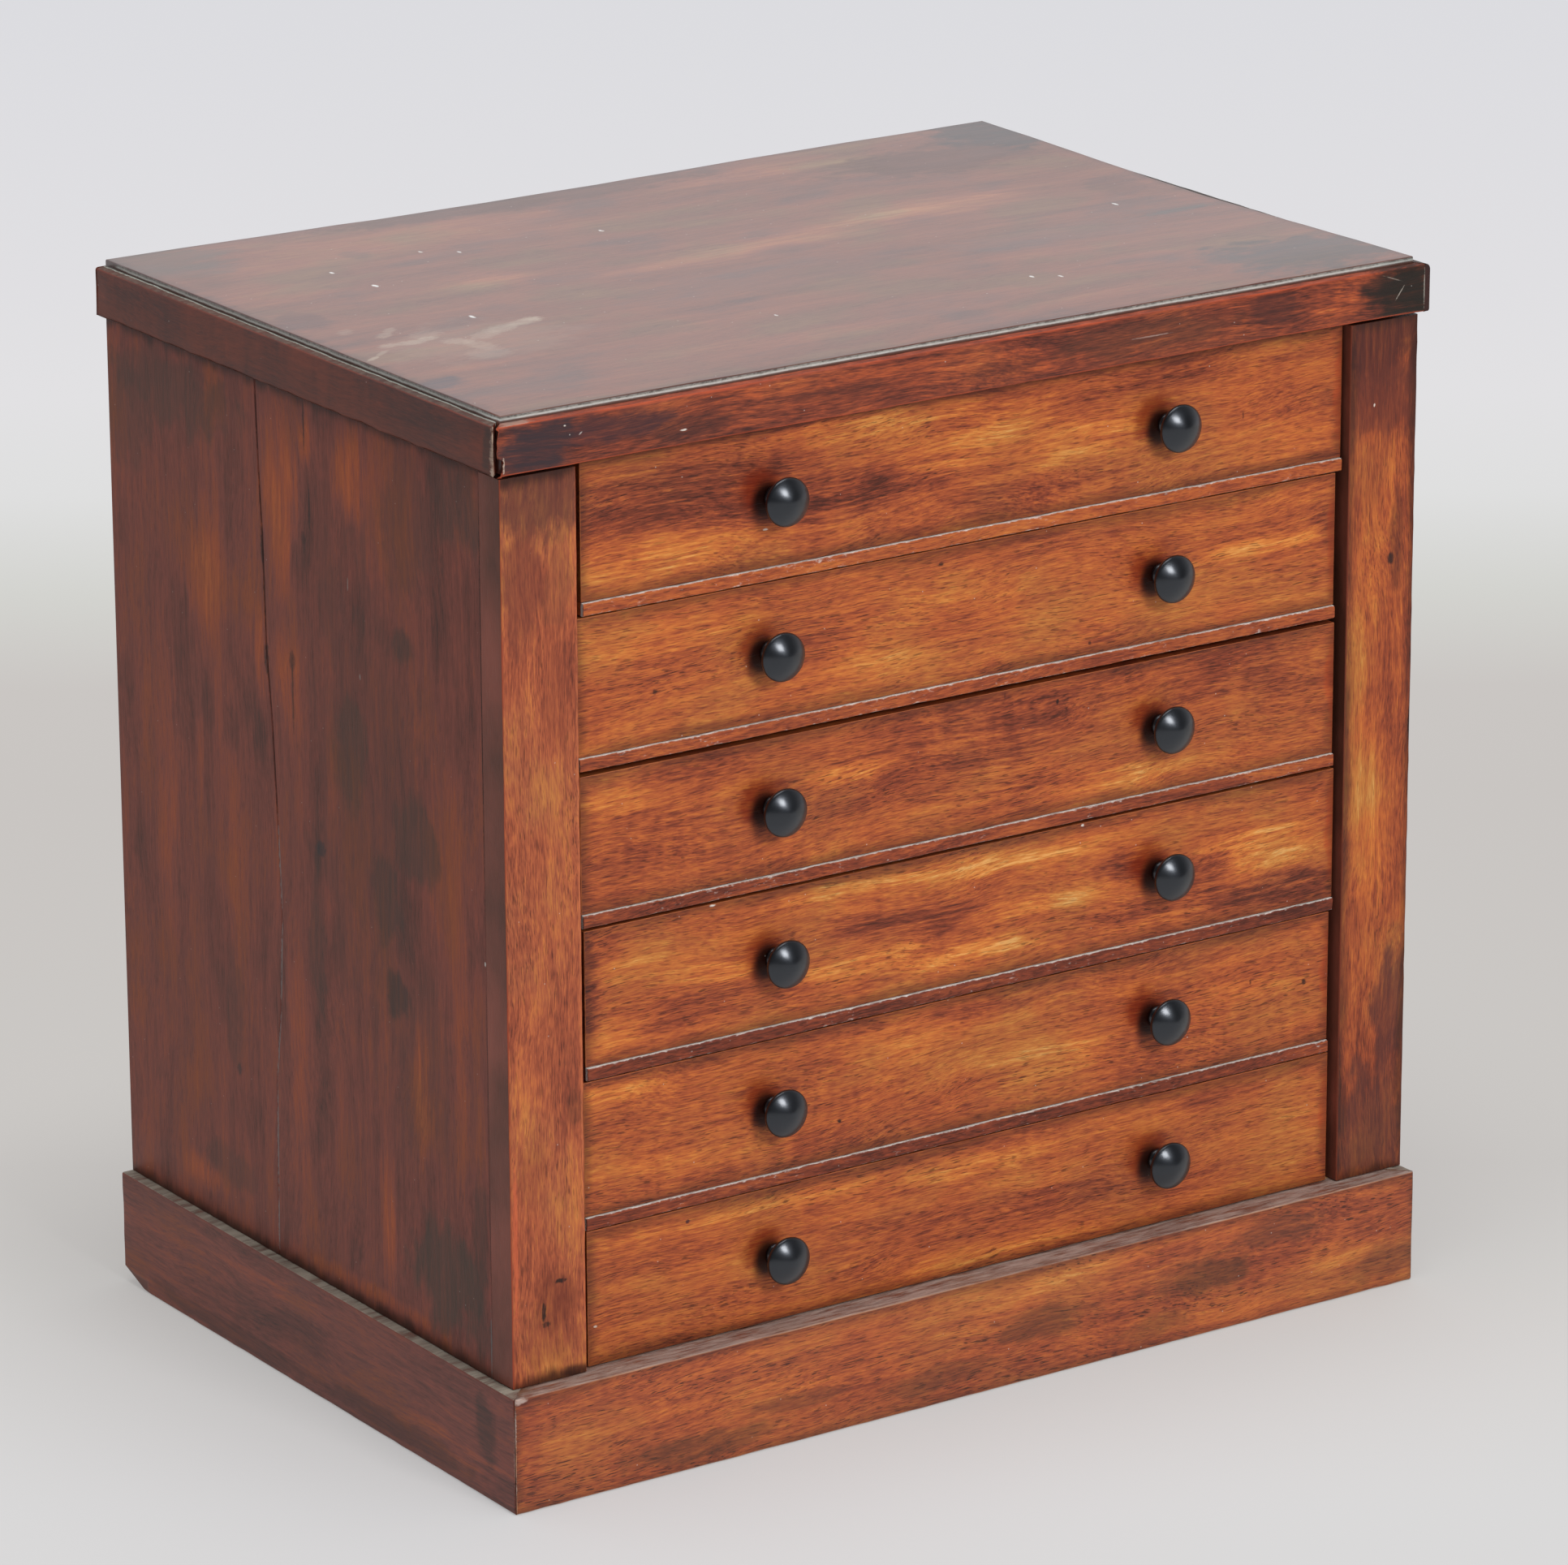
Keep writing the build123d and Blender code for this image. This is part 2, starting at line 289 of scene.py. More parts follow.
def laid(face, rows, values):
    """Each row's oval, from its first four numbers and the turn that may end it, and the values between."""
    return [(face(*row[:4], *row[4 + values :]), *row[4 : 4 + values]) for row in rows]


# The woods, each from its darkest figure to its brightest, under old polish

FRONT_TONES = [
    (0.0, "#2a120f"), (0.2, "#552619"), (0.38, "#843b24"), (0.52, "#a9532b"), (0.66, "#c0672f"),
    (0.8, "#d07c36"), (0.92, "#da8f45"), (1.0, "#e4a25a"),
]
SIDE_TONES = [(0.0, "#2b1713"), (0.25, "#4e2a22"), (0.5, "#824437"), (0.72, "#a3502d"), (1.0, "#c96630")]
STILE_TONES = [
    (0.0, "#2c1410"), (0.22, "#5c2c20"), (0.42, "#8e452d"), (0.56, "#ad5a37"), (0.74, "#c97539"),
    (1.0, "#dd9655"),
]
TOP_TONES = [(0.0, "#352420"), (0.3, "#663f31"), (0.5, "#8a523c"), (0.7, "#a86a47"), (1.0, "#c9935f")]
EDGING_TONES = [(0.0, "#1f0f0d"), (0.25, "#45201a"), (0.5, "#803a25"), (0.75, "#b5552b"), (1.0, "#da8040")]
LINING_TONES = [(0.0, "#5a3820"), (0.4, "#8e5e39"), (0.6, "#aa784b"), (1.0, "#c99c68")]
# wax and dust on the top board's upright edges; the palest stops, over the foot, also paint a highlight line
WAX_AND_HIGHLIGHT_TONES = [
    (0.0, "#6a4a42"), (0.12, "#7d6d66"), (0.26, "#d5d8d2"), (0.42, "#c2c4bd"), (0.54, "#94958d"),
    (0.72, "#857e78"), (0.84, "#452b27"), (1.0, "#3a1712"),
]
PINE_TONES = [(0.0, "#4a2d1c"), (0.35, "#805639"), (0.55, "#a67751"), (0.8, "#c3966b"), (1.0, "#dab88e")]
GRAIN_TURN = {X: STRAIGHT, Y: (0, 0, math.radians(-90)), Z: (0, math.radians(90), 0)}


def grain_noises(tree, moved):
    """The noises that the figure and the finish of a wood share. Most are stretched along the grain, which
    wanders up to 12 mm to each side."""
    wander = mottle(tree, moved, (150, 60, 60))
    aside = add(tree, "Math", (wander, 24, -12), operation="MULTIPLY_ADD")
    shift = add(tree, "CombineXYZ", {"Y": aside, "Z": aside})
    along = add(tree, "VectorMath", (moved, shift), operation="ADD")
    return SimpleNamespace(
        moved=moved,
        along=along,
        wander=wander,
        band=mottle(tree, along, (140, 13, 13), detail=3, roughness=0.55),
        streak=mottle(tree, along, (34, 2.0, 2.0), detail=3, roughness=0.65),
        # fibres are drawn 0.6 mm wide, so that they show
        fibre=mottle(tree, along, (6, 0.6, 0.6), detail=2, roughness=0.6),
        cloud=mottle(tree, moved, (60, 34, 34), detail=4, roughness=0.55),
        ragged=mottle(tree, along, (40, 8, 8), detail=3),
    )


def wood_figure(tree, place, noises, base, amounts, ripples, patches, flames):
    """How bright the figure is, from 0 to 1: bands, streaks, fibres and clouds, ripples across the grain,
    and patches of lighter or darker wood, streaky inside and torn at their ends."""
    tone = base - CONTRAST / 2 * sum(amounts)
    for layer, amount in zip((noises.band, noises.streak, noises.fibre, noises.cloud), amounts):
        tone = add(tree, "Math", (layer, CONTRAST * amount, tone), operation="MULTIPLY_ADD")
    across = mottle(tree, noises.moved, (5, 24, 24), detail=1)
    across = add(tree, "Math", (across, 0.5), operation="SUBTRACT")
    curly = add(tree, "MapRange", (noises.wander, 0.42, 0.62), **SMOOTH)
    rippled = add(tree, "Math", (across, curly), operation="MULTIPLY")
    tone = add(tree, "Math", (rippled, 2 * CONTRAST * ripples, tone), operation="MULTIPLY_ADD")
    torn = tearing(tree, noises.ragged, 1.3)
    flame = mottle(tree, noises.along, (50, 2.0, 2.0), detail=3)
    streaky = add(tree, "MapRange", (flame, 0.36, 0.64, *flames), **SMOOTH)
    for oval, strength in patches:
        lit = spot(tree, place, oval, torn, 0.25, 1.15)
        lit = add(tree, "Math", (lit, streaky), operation="MULTIPLY")
        tone = add(tree, "Math", (lit, strength, tone), operation="MULTIPLY_ADD")
    return tone


def pore_share(tree, noises, pores):
    """Pores 3 to 7 mm long, drawn 0.5 mm wide so that they show."""
    pore = mottle(tree, noises.along, (6, 0.5, 0.5), detail=1)
    pore = add(tree, "MapRange", (pore, 0.56, 0.68), **SMOOTH)
    open_band = add(tree, "MapRange", (noises.band, 0.35, 0.6, pores, 0.5 * pores), **SMOOTH)
    return add(tree, "Math", (pore, open_band), operation="MULTIPLY")


def darken_edges_with_grime_and_shade(tree, place, noises, edges, edge_grime_and_shade):
    """Darkening within about 6 mm of a face's edges: dirt that the cloth doesn't reach, and painted shade."""
    parts = add(tree, "SeparateXYZ", (place,))
    inward = None
    for axis, (low, high) in edges.items():
        from_low = add(tree, "Math", (parts.node.outputs[axis], low), operation="SUBTRACT")
        from_high = add(tree, "Math", (high, parts.node.outputs[axis]), operation="SUBTRACT")
        nearest = add(tree, "Math", (from_low, from_high), operation="MINIMUM")
        inward = add(tree, "Math", (inward, nearest), operation="MINIMUM") if inward else nearest
    uneven = add(tree, "Math", (noises.ragged, 0.5), operation="SUBTRACT")
    inward = add(tree, "Math", (uneven, 9, inward), operation="MULTIPLY_ADD")
    # one dark colour for both the dirt and the painted shade under the strips and beside neighbouring parts
    return add(tree, "MapRange", (inward, 0.0, 6.0, edge_grime_and_shade, 0.0), **SMOOTH), "#2c160f"


def polish_halos_and_knob_shadows(tree, place, blotted, knobs):
    """Red polish that gathers to the left of each knob's foot, and close to the foot a painted shadow
    of the knob, mixed with dirt.
    """
    coats = []
    for x, y, z in knobs:
        for centre, reach, torn, strength, code in (
            ((x - 5, y, z + 2.5), (11, 12, 11.5), blotted, 0.72, "#74220c"),
            # a painted shadow of the knob beside its neck, mixed with dirt
            ((x - 3.5, y, z - 1), (7.5, 12, 9.5), None, 0.9, "#150806"),
        ):
            halo = spot(tree, place, (centre, reach, STRAIGHT), torn, 0.5, 1.15)
            coats.append((add(tree, "Math", (halo, strength), operation="MULTIPLY"), code))
    return coats


def pale_specks(tree, noises, specks):
    """Specks of pale dust, about 0.5 mm across and 8 mm or so apart."""
    spread = add(tree, "VectorMath", (noises.moved, [1 / 8] * 3), operation="MULTIPLY")
    near = add(tree, "TexVoronoi", {"Vector": spread, "Scale": 1.0})
    return add(tree, "MapRange", (near, 0.02, 0.045, specks, 0.0), **SMOOTH), "#d8d2ca"


def dark_sides(tree, noises, facing, axis):
    """The faces that look along an axis have the dark finish of the chest's sides."""
    sideways = add(tree, "Math", (facing.node.outputs[axis],), operation="ABSOLUTE")
    dark = add(tree, "ValToRGB", (noises.cloud,), stops=[(0.3, "#8a4a3b"), (0.65, "#4d2c22")])
    return add(tree, "MapRange", (sideways, 0.8, 0.95, 0.0, 0.96), **SMOOTH), dark


def rubbed_arrises(tree, noises, facing):
    """How much hands have rubbed the arrises, which face between the axes."""
    flat = None
    for output in facing.node.outputs:
        side_on = add(tree, "Math", (output,), operation="ABSOLUTE")
        flat = add(tree, "Math", (flat, side_on), operation="MAXIMUM") if flat else side_on
    arris = add(tree, "MapRange", (flat, 0.985, 0.9), **SMOOTH)
    handled = add(tree, "MapRange", (noises.ragged, 0.35, 0.6, 0.25, 0.85), **SMOOTH)
    return add(tree, "Math", (arris, handled), operation="MULTIPLY")


def dusty_ledges(tree, place, facing, dust, tones, lengths):
    """Grey dust that lies on faces that look up."""
    grains = mottle(tree, place, lengths, detail=5, roughness=0.75)
    thick = add(tree, "MapRange", (grains, 0.3, 0.52, 0.45 * dust, dust), **SMOOTH)
    ledge = add(tree, "MapRange", (facing.node.outputs[Z], 0.6, 0.95), **SMOOTH)
    grey = add(tree, "ValToRGB", (grains,), stops=list(zip((0.36, 0.62), tones)))
    return add(tree, "Math", (ledge, thick), operation="MULTIPLY"), grey


def wax_and_painted_highlight_on_edges(tree, place, noises, facing, low, high):
    """Upright edges packed with pale wax and dust: dark at the foot and the arris, palest over the foot,
    where the pale band also paints a highlight line.
    """
    crumbs = mottle(tree, noises.moved, (2.2, 0.9, 0.9), detail=4, roughness=0.7)
    parts = add(tree, "SeparateXYZ", (place,))
    height = add(tree, "MapRange", (parts.node.outputs[Z], low, high))
    uneven = add(tree, "Math", (noises.ragged, 0.5), operation="SUBTRACT")
    height = add(tree, "Math", (uneven, 0.35, height), operation="MULTIPLY_ADD")
    packed = add(tree, "ValToRGB", (height,), stops=WAX_AND_HIGHLIGHT_TONES)
    upper = add(tree, "MapRange", (height, 0.4, 0.6, 0.15, 0.7), **SMOOTH)
    crumbled = add(tree, "MapRange", (crumbs, 0.46, 0.6), **SMOOTH)
    dark = add(tree, "Math", (crumbled, upper), operation="MULTIPLY")
    packed = cover(tree, packed, [(dark, "#3a322d")])
    # only over the ledge, and neither on the flat nor on the back
    flat = add(tree, "MapRange", (facing.node.outputs[Z], 0.2, 0.45), **SMOOTH)
    behind = add(tree, "MapRange", (facing.node.outputs[Y], 0.3, 0.5), **SMOOTH)
    bare = add(tree, "Math", (flat, behind), operation="MAXIMUM")
    above = add(tree, "MapRange", (parts.node.outputs[Z], low - 0.5, low - 0.1, 0.0, 0.96), **SMOOTH)
    return add(tree, "Math", (bare, -1.0, above), operation="MULTIPLY_ADD"), packed


def torn_coats(tree, place, ovals, torn, inner, outer, streaks, start, end, least, most):
    """Ovals with torn outlines, streaky inside: their strength goes from least to most of what they have."""
    coats = []
    for oval, strength, code in ovals:
        thick = add(tree, "MapRange", (streaks, start, end, least * strength, most * strength), **SMOOTH)
        share = spot(tree, place, oval, torn, inner, outer)
        coats.append((add(tree, "Math", (share, thick), operation="MULTIPLY"), code))
    return coats


def old_wood(
    name, tones, grain=X, seed=0.0, base=0.52, bands=0.17, streaks=0.17, fibres=0.22, ripples=0.025,
    clouds=0.2, olive=0.4, flames=(0.3, 1.3), pores=0.8, specks=0.0, face=on_front, patches=(), stains=(),
    marks=(), seams=(), edges=None, edge_grime_and_shade=0.35, knobs=(), dust=0.0, dust_tones=("#5f594f", "#a5a196"),
    dust_grains=(7, 3, 3), wax_heights=None, worn="#b4683f", stained_sides=None, roughness=0.42,
    specular=0.25, coat=0.0,
):
    """Planed and polished wood: its figure and short dark pores under olive clouds of old polish, stains,
    dirt and painted shade near the edges, red polish and a painted shadow by each knob, rubbed arrises, dust
    and small marks. Lengths are in millimetres. A patch gives its place and reach on the face, its strength
    and perhaps its turn. A stain or a mark has a colour before the turn. A seam gives its place and its reach
    on all three axes."""
    material, tree, shader = new_material(name)
    place = in_millimetres(tree)
    turned = add(tree, "Mapping", {0: place, "Rotation": GRAIN_TURN[grain]})
    moved = add(tree, "Mapping", {0: turned, "Location": (seed * 317, seed * 91, seed * 53)})
    noises = grain_noises(tree, moved)
    facing = add(tree, "SeparateXYZ", (add(tree, "NewGeometry", out=1),))

    amounts = (bands, streaks, fibres, clouds)
    tone = wood_figure(tree, place, noises, base, amounts, ripples, laid(face, patches, 1), flames)
    colour = add(tree, "ValToRGB", (tone,), stops=tones)
    old_polish = add(tree, "MapRange", (noises.cloud, 0.42, 0.66, 0.0, olive), **SMOOTH)
    tint = {0: old_polish, 6: colour, 7: (0.58, 0.84, 1.05, 1)}
    colour = add(tree, "Mix", tint, 2, blend_type="MULTIPLY", **COLOURS)
    rough = add(tree, "Math", (noises.cloud, 0.2, roughness - 0.1), operation="MULTIPLY_ADD")

    open_pores = pore_share(tree, noises, pores)
    coats = [(open_pores, "#3a170e")]
    # dark polish that has run and worn away in blots
    blotted = tearing(tree, mottle(tree, moved, (18, 11, 11), detail=5, roughness=0.6), 1.8)
    ovals = laid(face, stains, 2)
    coats += torn_coats(tree, place, ovals, blotted, 0.55, 1.05, noises.streak, 0.3, 0.7, 1.0, 0.75)
    # dirt and painted shade near the edges of each face
    if edges:
        coats.append(darken_edges_with_grime_and_shade(tree, place, noises, edges, edge_grime_and_shade))
    # red polish by each knob, and a painted shadow of the knob
    coats += polish_halos_and_knob_shadows(tree, place, blotted, knobs)
    if specks:
        coats.append(pale_specks(tree, noises, specks))
    if stained_sides is not None:
        coats.append(dark_sides(tree, noises, facing, stained_sides))
    coats.append((rubbed_arrises(tree, noises, facing), worn))
    if dust:
        dusty = dusty_ledges(tree, place, facing, dust, dust_tones, dust_grains)
        coats.append(dusty)
        rough = add(tree, "Math", (dusty[0], 0.4, rough), operation="MULTIPLY_ADD")
    if wax_heights:
        coats.append(wax_and_painted_highlight_on_edges(tree, place, noises, facing, *wax_heights))
    nicks = tearing(tree, mottle(tree, moved, (2.4, 1.1, 1.1), detail=3, roughness=0.6), 1.4)
    ovals = laid(face, marks, 2)
    ovals += [((centre, reach, STRAIGHT), strength, code) for centre, reach, strength, code in seams]
    coats += torn_coats(tree, place, ovals, nicks, 0.5, 1.1, noises.fibre, 0.3, 0.5, 0.5, 1.0)

    sunk = add(tree, "Math", (open_pores, -1.0), operation="MULTIPLY")
    height = add(tree, "Math", (noises.fibre, 0.35, sunk), operation="MULTIPLY_ADD")
    connect(shader, {
        "Base Color": cover(tree, colour, coats), "Roughness": rough,
        "Normal": add(tree, "Bump", {"Strength": 0.4, "Distance": 0.0002, "Height": height}),
        "IOR": 1.5, "Specular IOR Level": specular, "Coat Weight": coat, "Coat Roughness": 0.25,
    })
    return material


# Places of the pieces, as the frame gives them

def place_of(node):
    low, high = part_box(node)
    return list(low), list(high)


def in_mm(node, *axes):
    """The limits of a node on the given axes, in millimetres, for a material."""
    low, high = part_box(node)
    return {axis: (low[axis] / MM, high[axis] / MM) for axis in axes}


def knob_places(number):
    low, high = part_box(f"drawer_{number}_knobs")
    radius = (high.z - low.z) / 2
    return [low.x + radius, high.x - radius], (low.z + high.z) / 2


# Mahogany of the carcass: rubbed with polish for long, so its colour changes within a few millimetres, its
# pores and hollows have gone dark, its arrises light, and its sheen is soft. The sides and ends are stained
# darker, and the top has faded.

LEDGE = 442.0  # height of the strips round the top board
front_plinth_wood = old_wood(
    "streaky mahogany of the plinth's front", FRONT_TONES, seed=3.3, base=0.51, pores=0.9,
    edges=in_mm("plinth_front", X, Z), edge_grime_and_shade=0.45, dust=0.7, dust_tones=("#6d544b", "#b3a59b"),
    dust_grains=(16, 2, 2), worn="#b08468", specular=0.4, specks=0.5,
    patches=[
        (30, 41, 65, 6, 0.17, 3), (-110, 40, 78, 7.2, 0.077), (-196, 18, 28.6, 9.6, 0.06),
        (-140, 30, 78, 8.4, 0.088), (-60, 24, 78, 7.2, 0.088), (0, 28, 52, 4.8, 0.12),
        (78, 45, 44.2, 3.6, 0.1), (186, 20, 26, 9.6, 0.15), (110, 12, 52, 4.8, 0.11),
    ],
    stains=[
        (30, 24, 30, 9, 0.6, "#4a2c1c"), (112, 26, 30, 11, 0.7, "#45291b"),
        (150, 38, 30, 8, 0.55, "#5a3222"), (208, 12, 20, 9, 0.5, "#4a2a1f"),
        (-20, 12, 34, 7, 0.5, "#54301f"), (-140, 9, 46, 7, 0.6, "#51321f"),
        (-90, 18, 26, 5, 0.55, "#4c2820"), (-218, 30, 7, 18, 0.35, "#7a2f22"),
        (86, 10, 20, 6, 0.5, "#54301f"),
    ],
    marks=[
        (176, 24, 2.4, 0.7, 0.8, "#1c100d"), (189, 35, 2.8, 0.7, 0.8, "#1c100d"),
        (-225.6, 36, 0.7, 13, 0.7, "#c6b8ae"), (-225.6, 12, 0.6, 8, 0.6, "#c6b8ae"),
        (-223, 48, 3.4, 1.6, 0.8, "#b9a59a"), (-219, 8, 3, 1, 0.7, "#3a1d18"),
    ],
)
side_plinth_wood = old_wood(
    "dark mahogany of the plinth's sides", SIDE_TONES, face=on_side, grain=Y, seed=5.1, base=0.46,
    bands=0.16, streaks=0.2, fibres=0.14, ripples=0.0, clouds=0.24, olive=0.6, pores=0.3, dust=0.9,
    dust_tones=("#6d655a", "#a09889"), dust_grains=(30, 5, 5), worn="#6b3527", specular=0.3,
    patches=[(-110, 14, 60, 8, 0.2), (40, 36, 60, 10, 0.08), (110, 26, 50, 14, 0.06)],
    stains=[
        (-134, 30, 9, 16, 0.7, "#33231c"), (-60, 8, 70, 6, 0.5, "#3a2018"), (60, 6, 80, 5, 0.5, "#3a2018"),
        (10, 24, 30, 9, 0.35, "#40211a"),
    ],
    marks=[(-154.6, 25, 0.6, 22, 0.6, "#a08478")],
)
CRACK = [  # heights and places of the long crack in the left side, in millimetres from the top down
    (418, 35.9), (387, 34.6), (355, 32.6), (310, 31.6), (280, 28.4), (237, 25.9), (200, 24.2), (157, 27.2),
    (127, 31.4), (75, 32.9), (52, 33.4),
]


def along_crack():
    """The lips of the crack: dark above, dirt and painted shade in the groove, and filled with pale wax
    below.
    """
    lips = []
    for (top, from_y), (foot, to_y) in zip(CRACK, CRACK[1:]):
        lean = math.degrees(math.atan2(from_y - to_y, top - foot))
        # the dark line paints the groove's shade as well as its dirt
        code = "#1f1311" if foot > 230 else "#8d8683"
        middle = (from_y + to_y) / 2, (top + foot) / 2
        lips.append((*middle, 0.75, 0.6 * (top - foot), 0.75, code, -lean))
    return lips


side_wood = old_wood(
    "dark upright mahogany of the sides", SIDE_TONES, face=on_side, grain=Z, seed=1.7, base=0.49,
    streaks=0.15, fibres=0.12, ripples=0.0, clouds=0.3, olive=0.5, flames=(0.6, 1.2), pores=0.35,
    edges=in_mm("left_side", Z), edge_grime_and_shade=0.8, worn="#6a4536", roughness=0.46, specular=0.22, specks=0.25,
    patches=[
        (18, 375, 16.5, 39.6, 0.25), (-3, 404, 7.7, 11, 0.21), (-38, 398, 19.8, 19.8, 0.22),
        (78, 330, 22, 33, 0.24), (35, 305, 6.6, 28.6, 0.21), (14, 300, 14.3, 30.8, 0.2),
        (-82, 152, 7.7, 41.8, 0.25), (-54, 92, 8.8, 39.6, 0.21), (16, 135, 9.9, 59.4, 0.18),
        (92, 67, 22, 8.8, 0.2), (-112, 210, 7.7, 99, 0.11), (110, 240, 33, 77, 0.07),
        (60, 220, 8.8, 66, 0.098), (-40, 57, 66, 4.4, 0.17),
    ],
    stains=[
        (100, 402, 58, 18, 0.6, "#4a382f"), (140, 384, 22, 30, 0.4, "#4c3830"),
        (-72, 336, 10, 9, 0.65, "#42342c"), (-58, 228, 13, 22, 0.65, "#423730"),
        (-65, 190, 12, 12, 0.8, "#38302c"), (-33, 284, 15, 28, 0.55, "#4c3c30"),
        (-4, 190, 8, 42, 0.5, "#40332c"), (-80, 258, 22, 22, 0.55, "#4a3a30"),
        (-100, 84, 32, 28, 0.75, "#453a30"), (-117, 402, 24, 22, 0.6, "#483830"),
        (-16, 352, 10, 30, 0.4, "#5a352c"), (70, 76, 30, 10, 0.4, "#4a382f"),
        (64, 150, 9, 30, 0.35, "#4e362d"), (-124, 90, 6, 60, 0.5, "#3a3028"),
        (-48, 270, 52, 110, 0.32, "#43322b"), (-82, 165, 26, 50, 0.3, "#4a352d"),
        (-80, 390, 26, 34, 0.4, "#45332c"),
    ],
    marks=[
        (-7.9, 236, 4.5, 4, 0.75, "#2c2a2c"), (62, 122, 2.4, 3, 0.6, "#2c2a2c"),
        (33, 352, 1.6, 10, 0.8, "#1d1210"), (31.5, 306, 2.2, 8, 0.8, "#1d1210"),
        (-1.6, 410, 0.7, 14, 0.75, "#241614"), (-4.6, 377, 0.8, 12, 0.8, "#241614"),
        (0.5, 363, 2.0, 3, 0.5, "#241614"), (11.5, 310, 2.6, 5, 0.6, "#241614"),
        (11.5, 296, 0.9, 18, 0.7, "#241614"), (-131.5, 326, 0.5, 94, 0.85, "#1d1110"),
        (-131.5, 150, 0.5, 84, 0.5, "#2a1a18"), (-131, 62, 0.6, 16, 0.6, "#5a6a6a"),
        (-33, 352, 0.5, 3, 0.6, "#8f8880"), (-41, 316, 0.6, 1.5, 0.7, "#8f8880"),
        (-131, 222, 0.7, 1, 0.9, "#c8c4bc"),
    ] + along_crack(),
)
left_stile_wood = old_wood(
    "upright mahogany of the left stile", STILE_TONES, grain=Z, seed=7.9, base=0.53, bands=0.14,
    streaks=0.15, clouds=0.28, pores=0.6, edges=in_mm("left_stile", Z), edge_grime_and_shade=0.85, stained_sides=X,
    worn="#9a4228", specks=0.4,
    patches=[
        (-196, 250, 12, 60, 0.06), (-214, 175, 10, 40, 0.1), (-192, 120, 10, 30, 0.1),
        (-207, 340, 8, 40, 0.04), (-206, 58, 14, 8, 0.1),
    ],
    stains=[
        (-203, 412, 26, 22, 0.9, "#5d3229"), (-212, 376, 11, 34, 0.7, "#6b3428"),
        (-196, 372, 10, 22, 0.45, "#74412c"), (-206, 66, 20, 12, 0.35, "#6e3020"),
        (-200, 84, 13, 15, 0.6, "#5a2418"), (-196, 330, 8, 24, 0.3, "#7a3a26"),
        (-210, 138, 9, 18, 0.3, "#6e3020"), (-190, 160, 5, 10, 0.45, "#4a2a1c"),
        (-192, 52, 8, 3, 0.7, "#3a1f18"),
    ],
    marks=[
        (-198.2, 90.5, 3.4, 1.2, 0.9, "#141010"), (-206, 79, 1.2, 5, 0.9, "#181210"),
        (-205, 73.4, 2.2, 1.4, 0.8, "#181210"), (-187, 236, 0.7, 190, 0.35, "#d0784a"),
        (-218.6, 110, 1.4, 40, 0.5, "#d0623c"),
    ],
)
right_stile_wood = old_wood(
    "upright mahogany of the right stile", FRONT_TONES, grain=Z, seed=2.6, base=0.5, bands=0.14,
    streaks=0.16, clouds=0.34, olive=0.45, pores=0.6, edges=in_mm("right_stile", X, Z), edge_grime_and_shade=0.7,
    stained_sides=X, worn="#74321f",
    patches=[
        (200, 330, 8.8, 50.6, 0.15), (212, 350, 4.4, 33, 0.15), (204, 200, 9.9, 61.6, 0.15),
        (196, 250, 5.5, 55, 0.084), (216, 280, 4.4, 44, 0.11),
    ],
    stains=[
        (206, 410, 30, 24, 1.0, "#4f251f"), (206, 385, 24, 20, 0.7, "#632f24"),
        (206, 70, 26, 34, 0.8, "#4f2b26"), (216, 122, 13, 36, 0.75, "#4a2a28"),
        (214, 326, 5, 22, 0.6, "#4d241b"), (211, 318, 2, 3, 0.9, "#2a1a18"),
        (198, 352, 8, 20, 0.35, "#713524"), (212, 120, 8, 24, 0.35, "#6a3122"),
    ],
    marks=[(222.6, 245, 1.2, 9, 0.8, "#161010"), (201, 385, 0.5, 0.9, 0.9, "#d8cabc")],
)
FADED = "#c2b49e"  # dust and wax rubbed into the polish
WISPS = [  # smears of dust and wax on the top: middle, reach, strength and turn of each
    (-198, -30, 6, 3.2, 0.3, 5), (-188, -31, 7, 4, 0.36, -5), (-180, -29, 5, 3.6, 0.3, 10),
    (-191, -15, 6, 3.4, 0.26, 35), (-185, -9, 5, 3, 0.22, 40), (-201, -2, 5, 3.6, 0.16, 40),
    (-172, -40, 8, 5.5, 0.28, -40), (-168, -50, 6, 9, 0.22, 10), (-158, -37, 10, 5.5, 0.24, 20),
    (-147, -32, 10, 5.5, 0.3, 15), (-134, -28, 10, 5, 0.36, 12), (-129, -26, 5, 4, 0.3, 0),
    (-213, -43, 5, 1.6, 0.4, 32), (-206, -38, 5, 1.6, 0.3, 35), (-178, -24, 9, 7, 0.16, 20),
    (-172, -62, 12, 9, 0.14, 0),
]
CHIPPED = "#e8e6e2"  # small chips that show pale wood
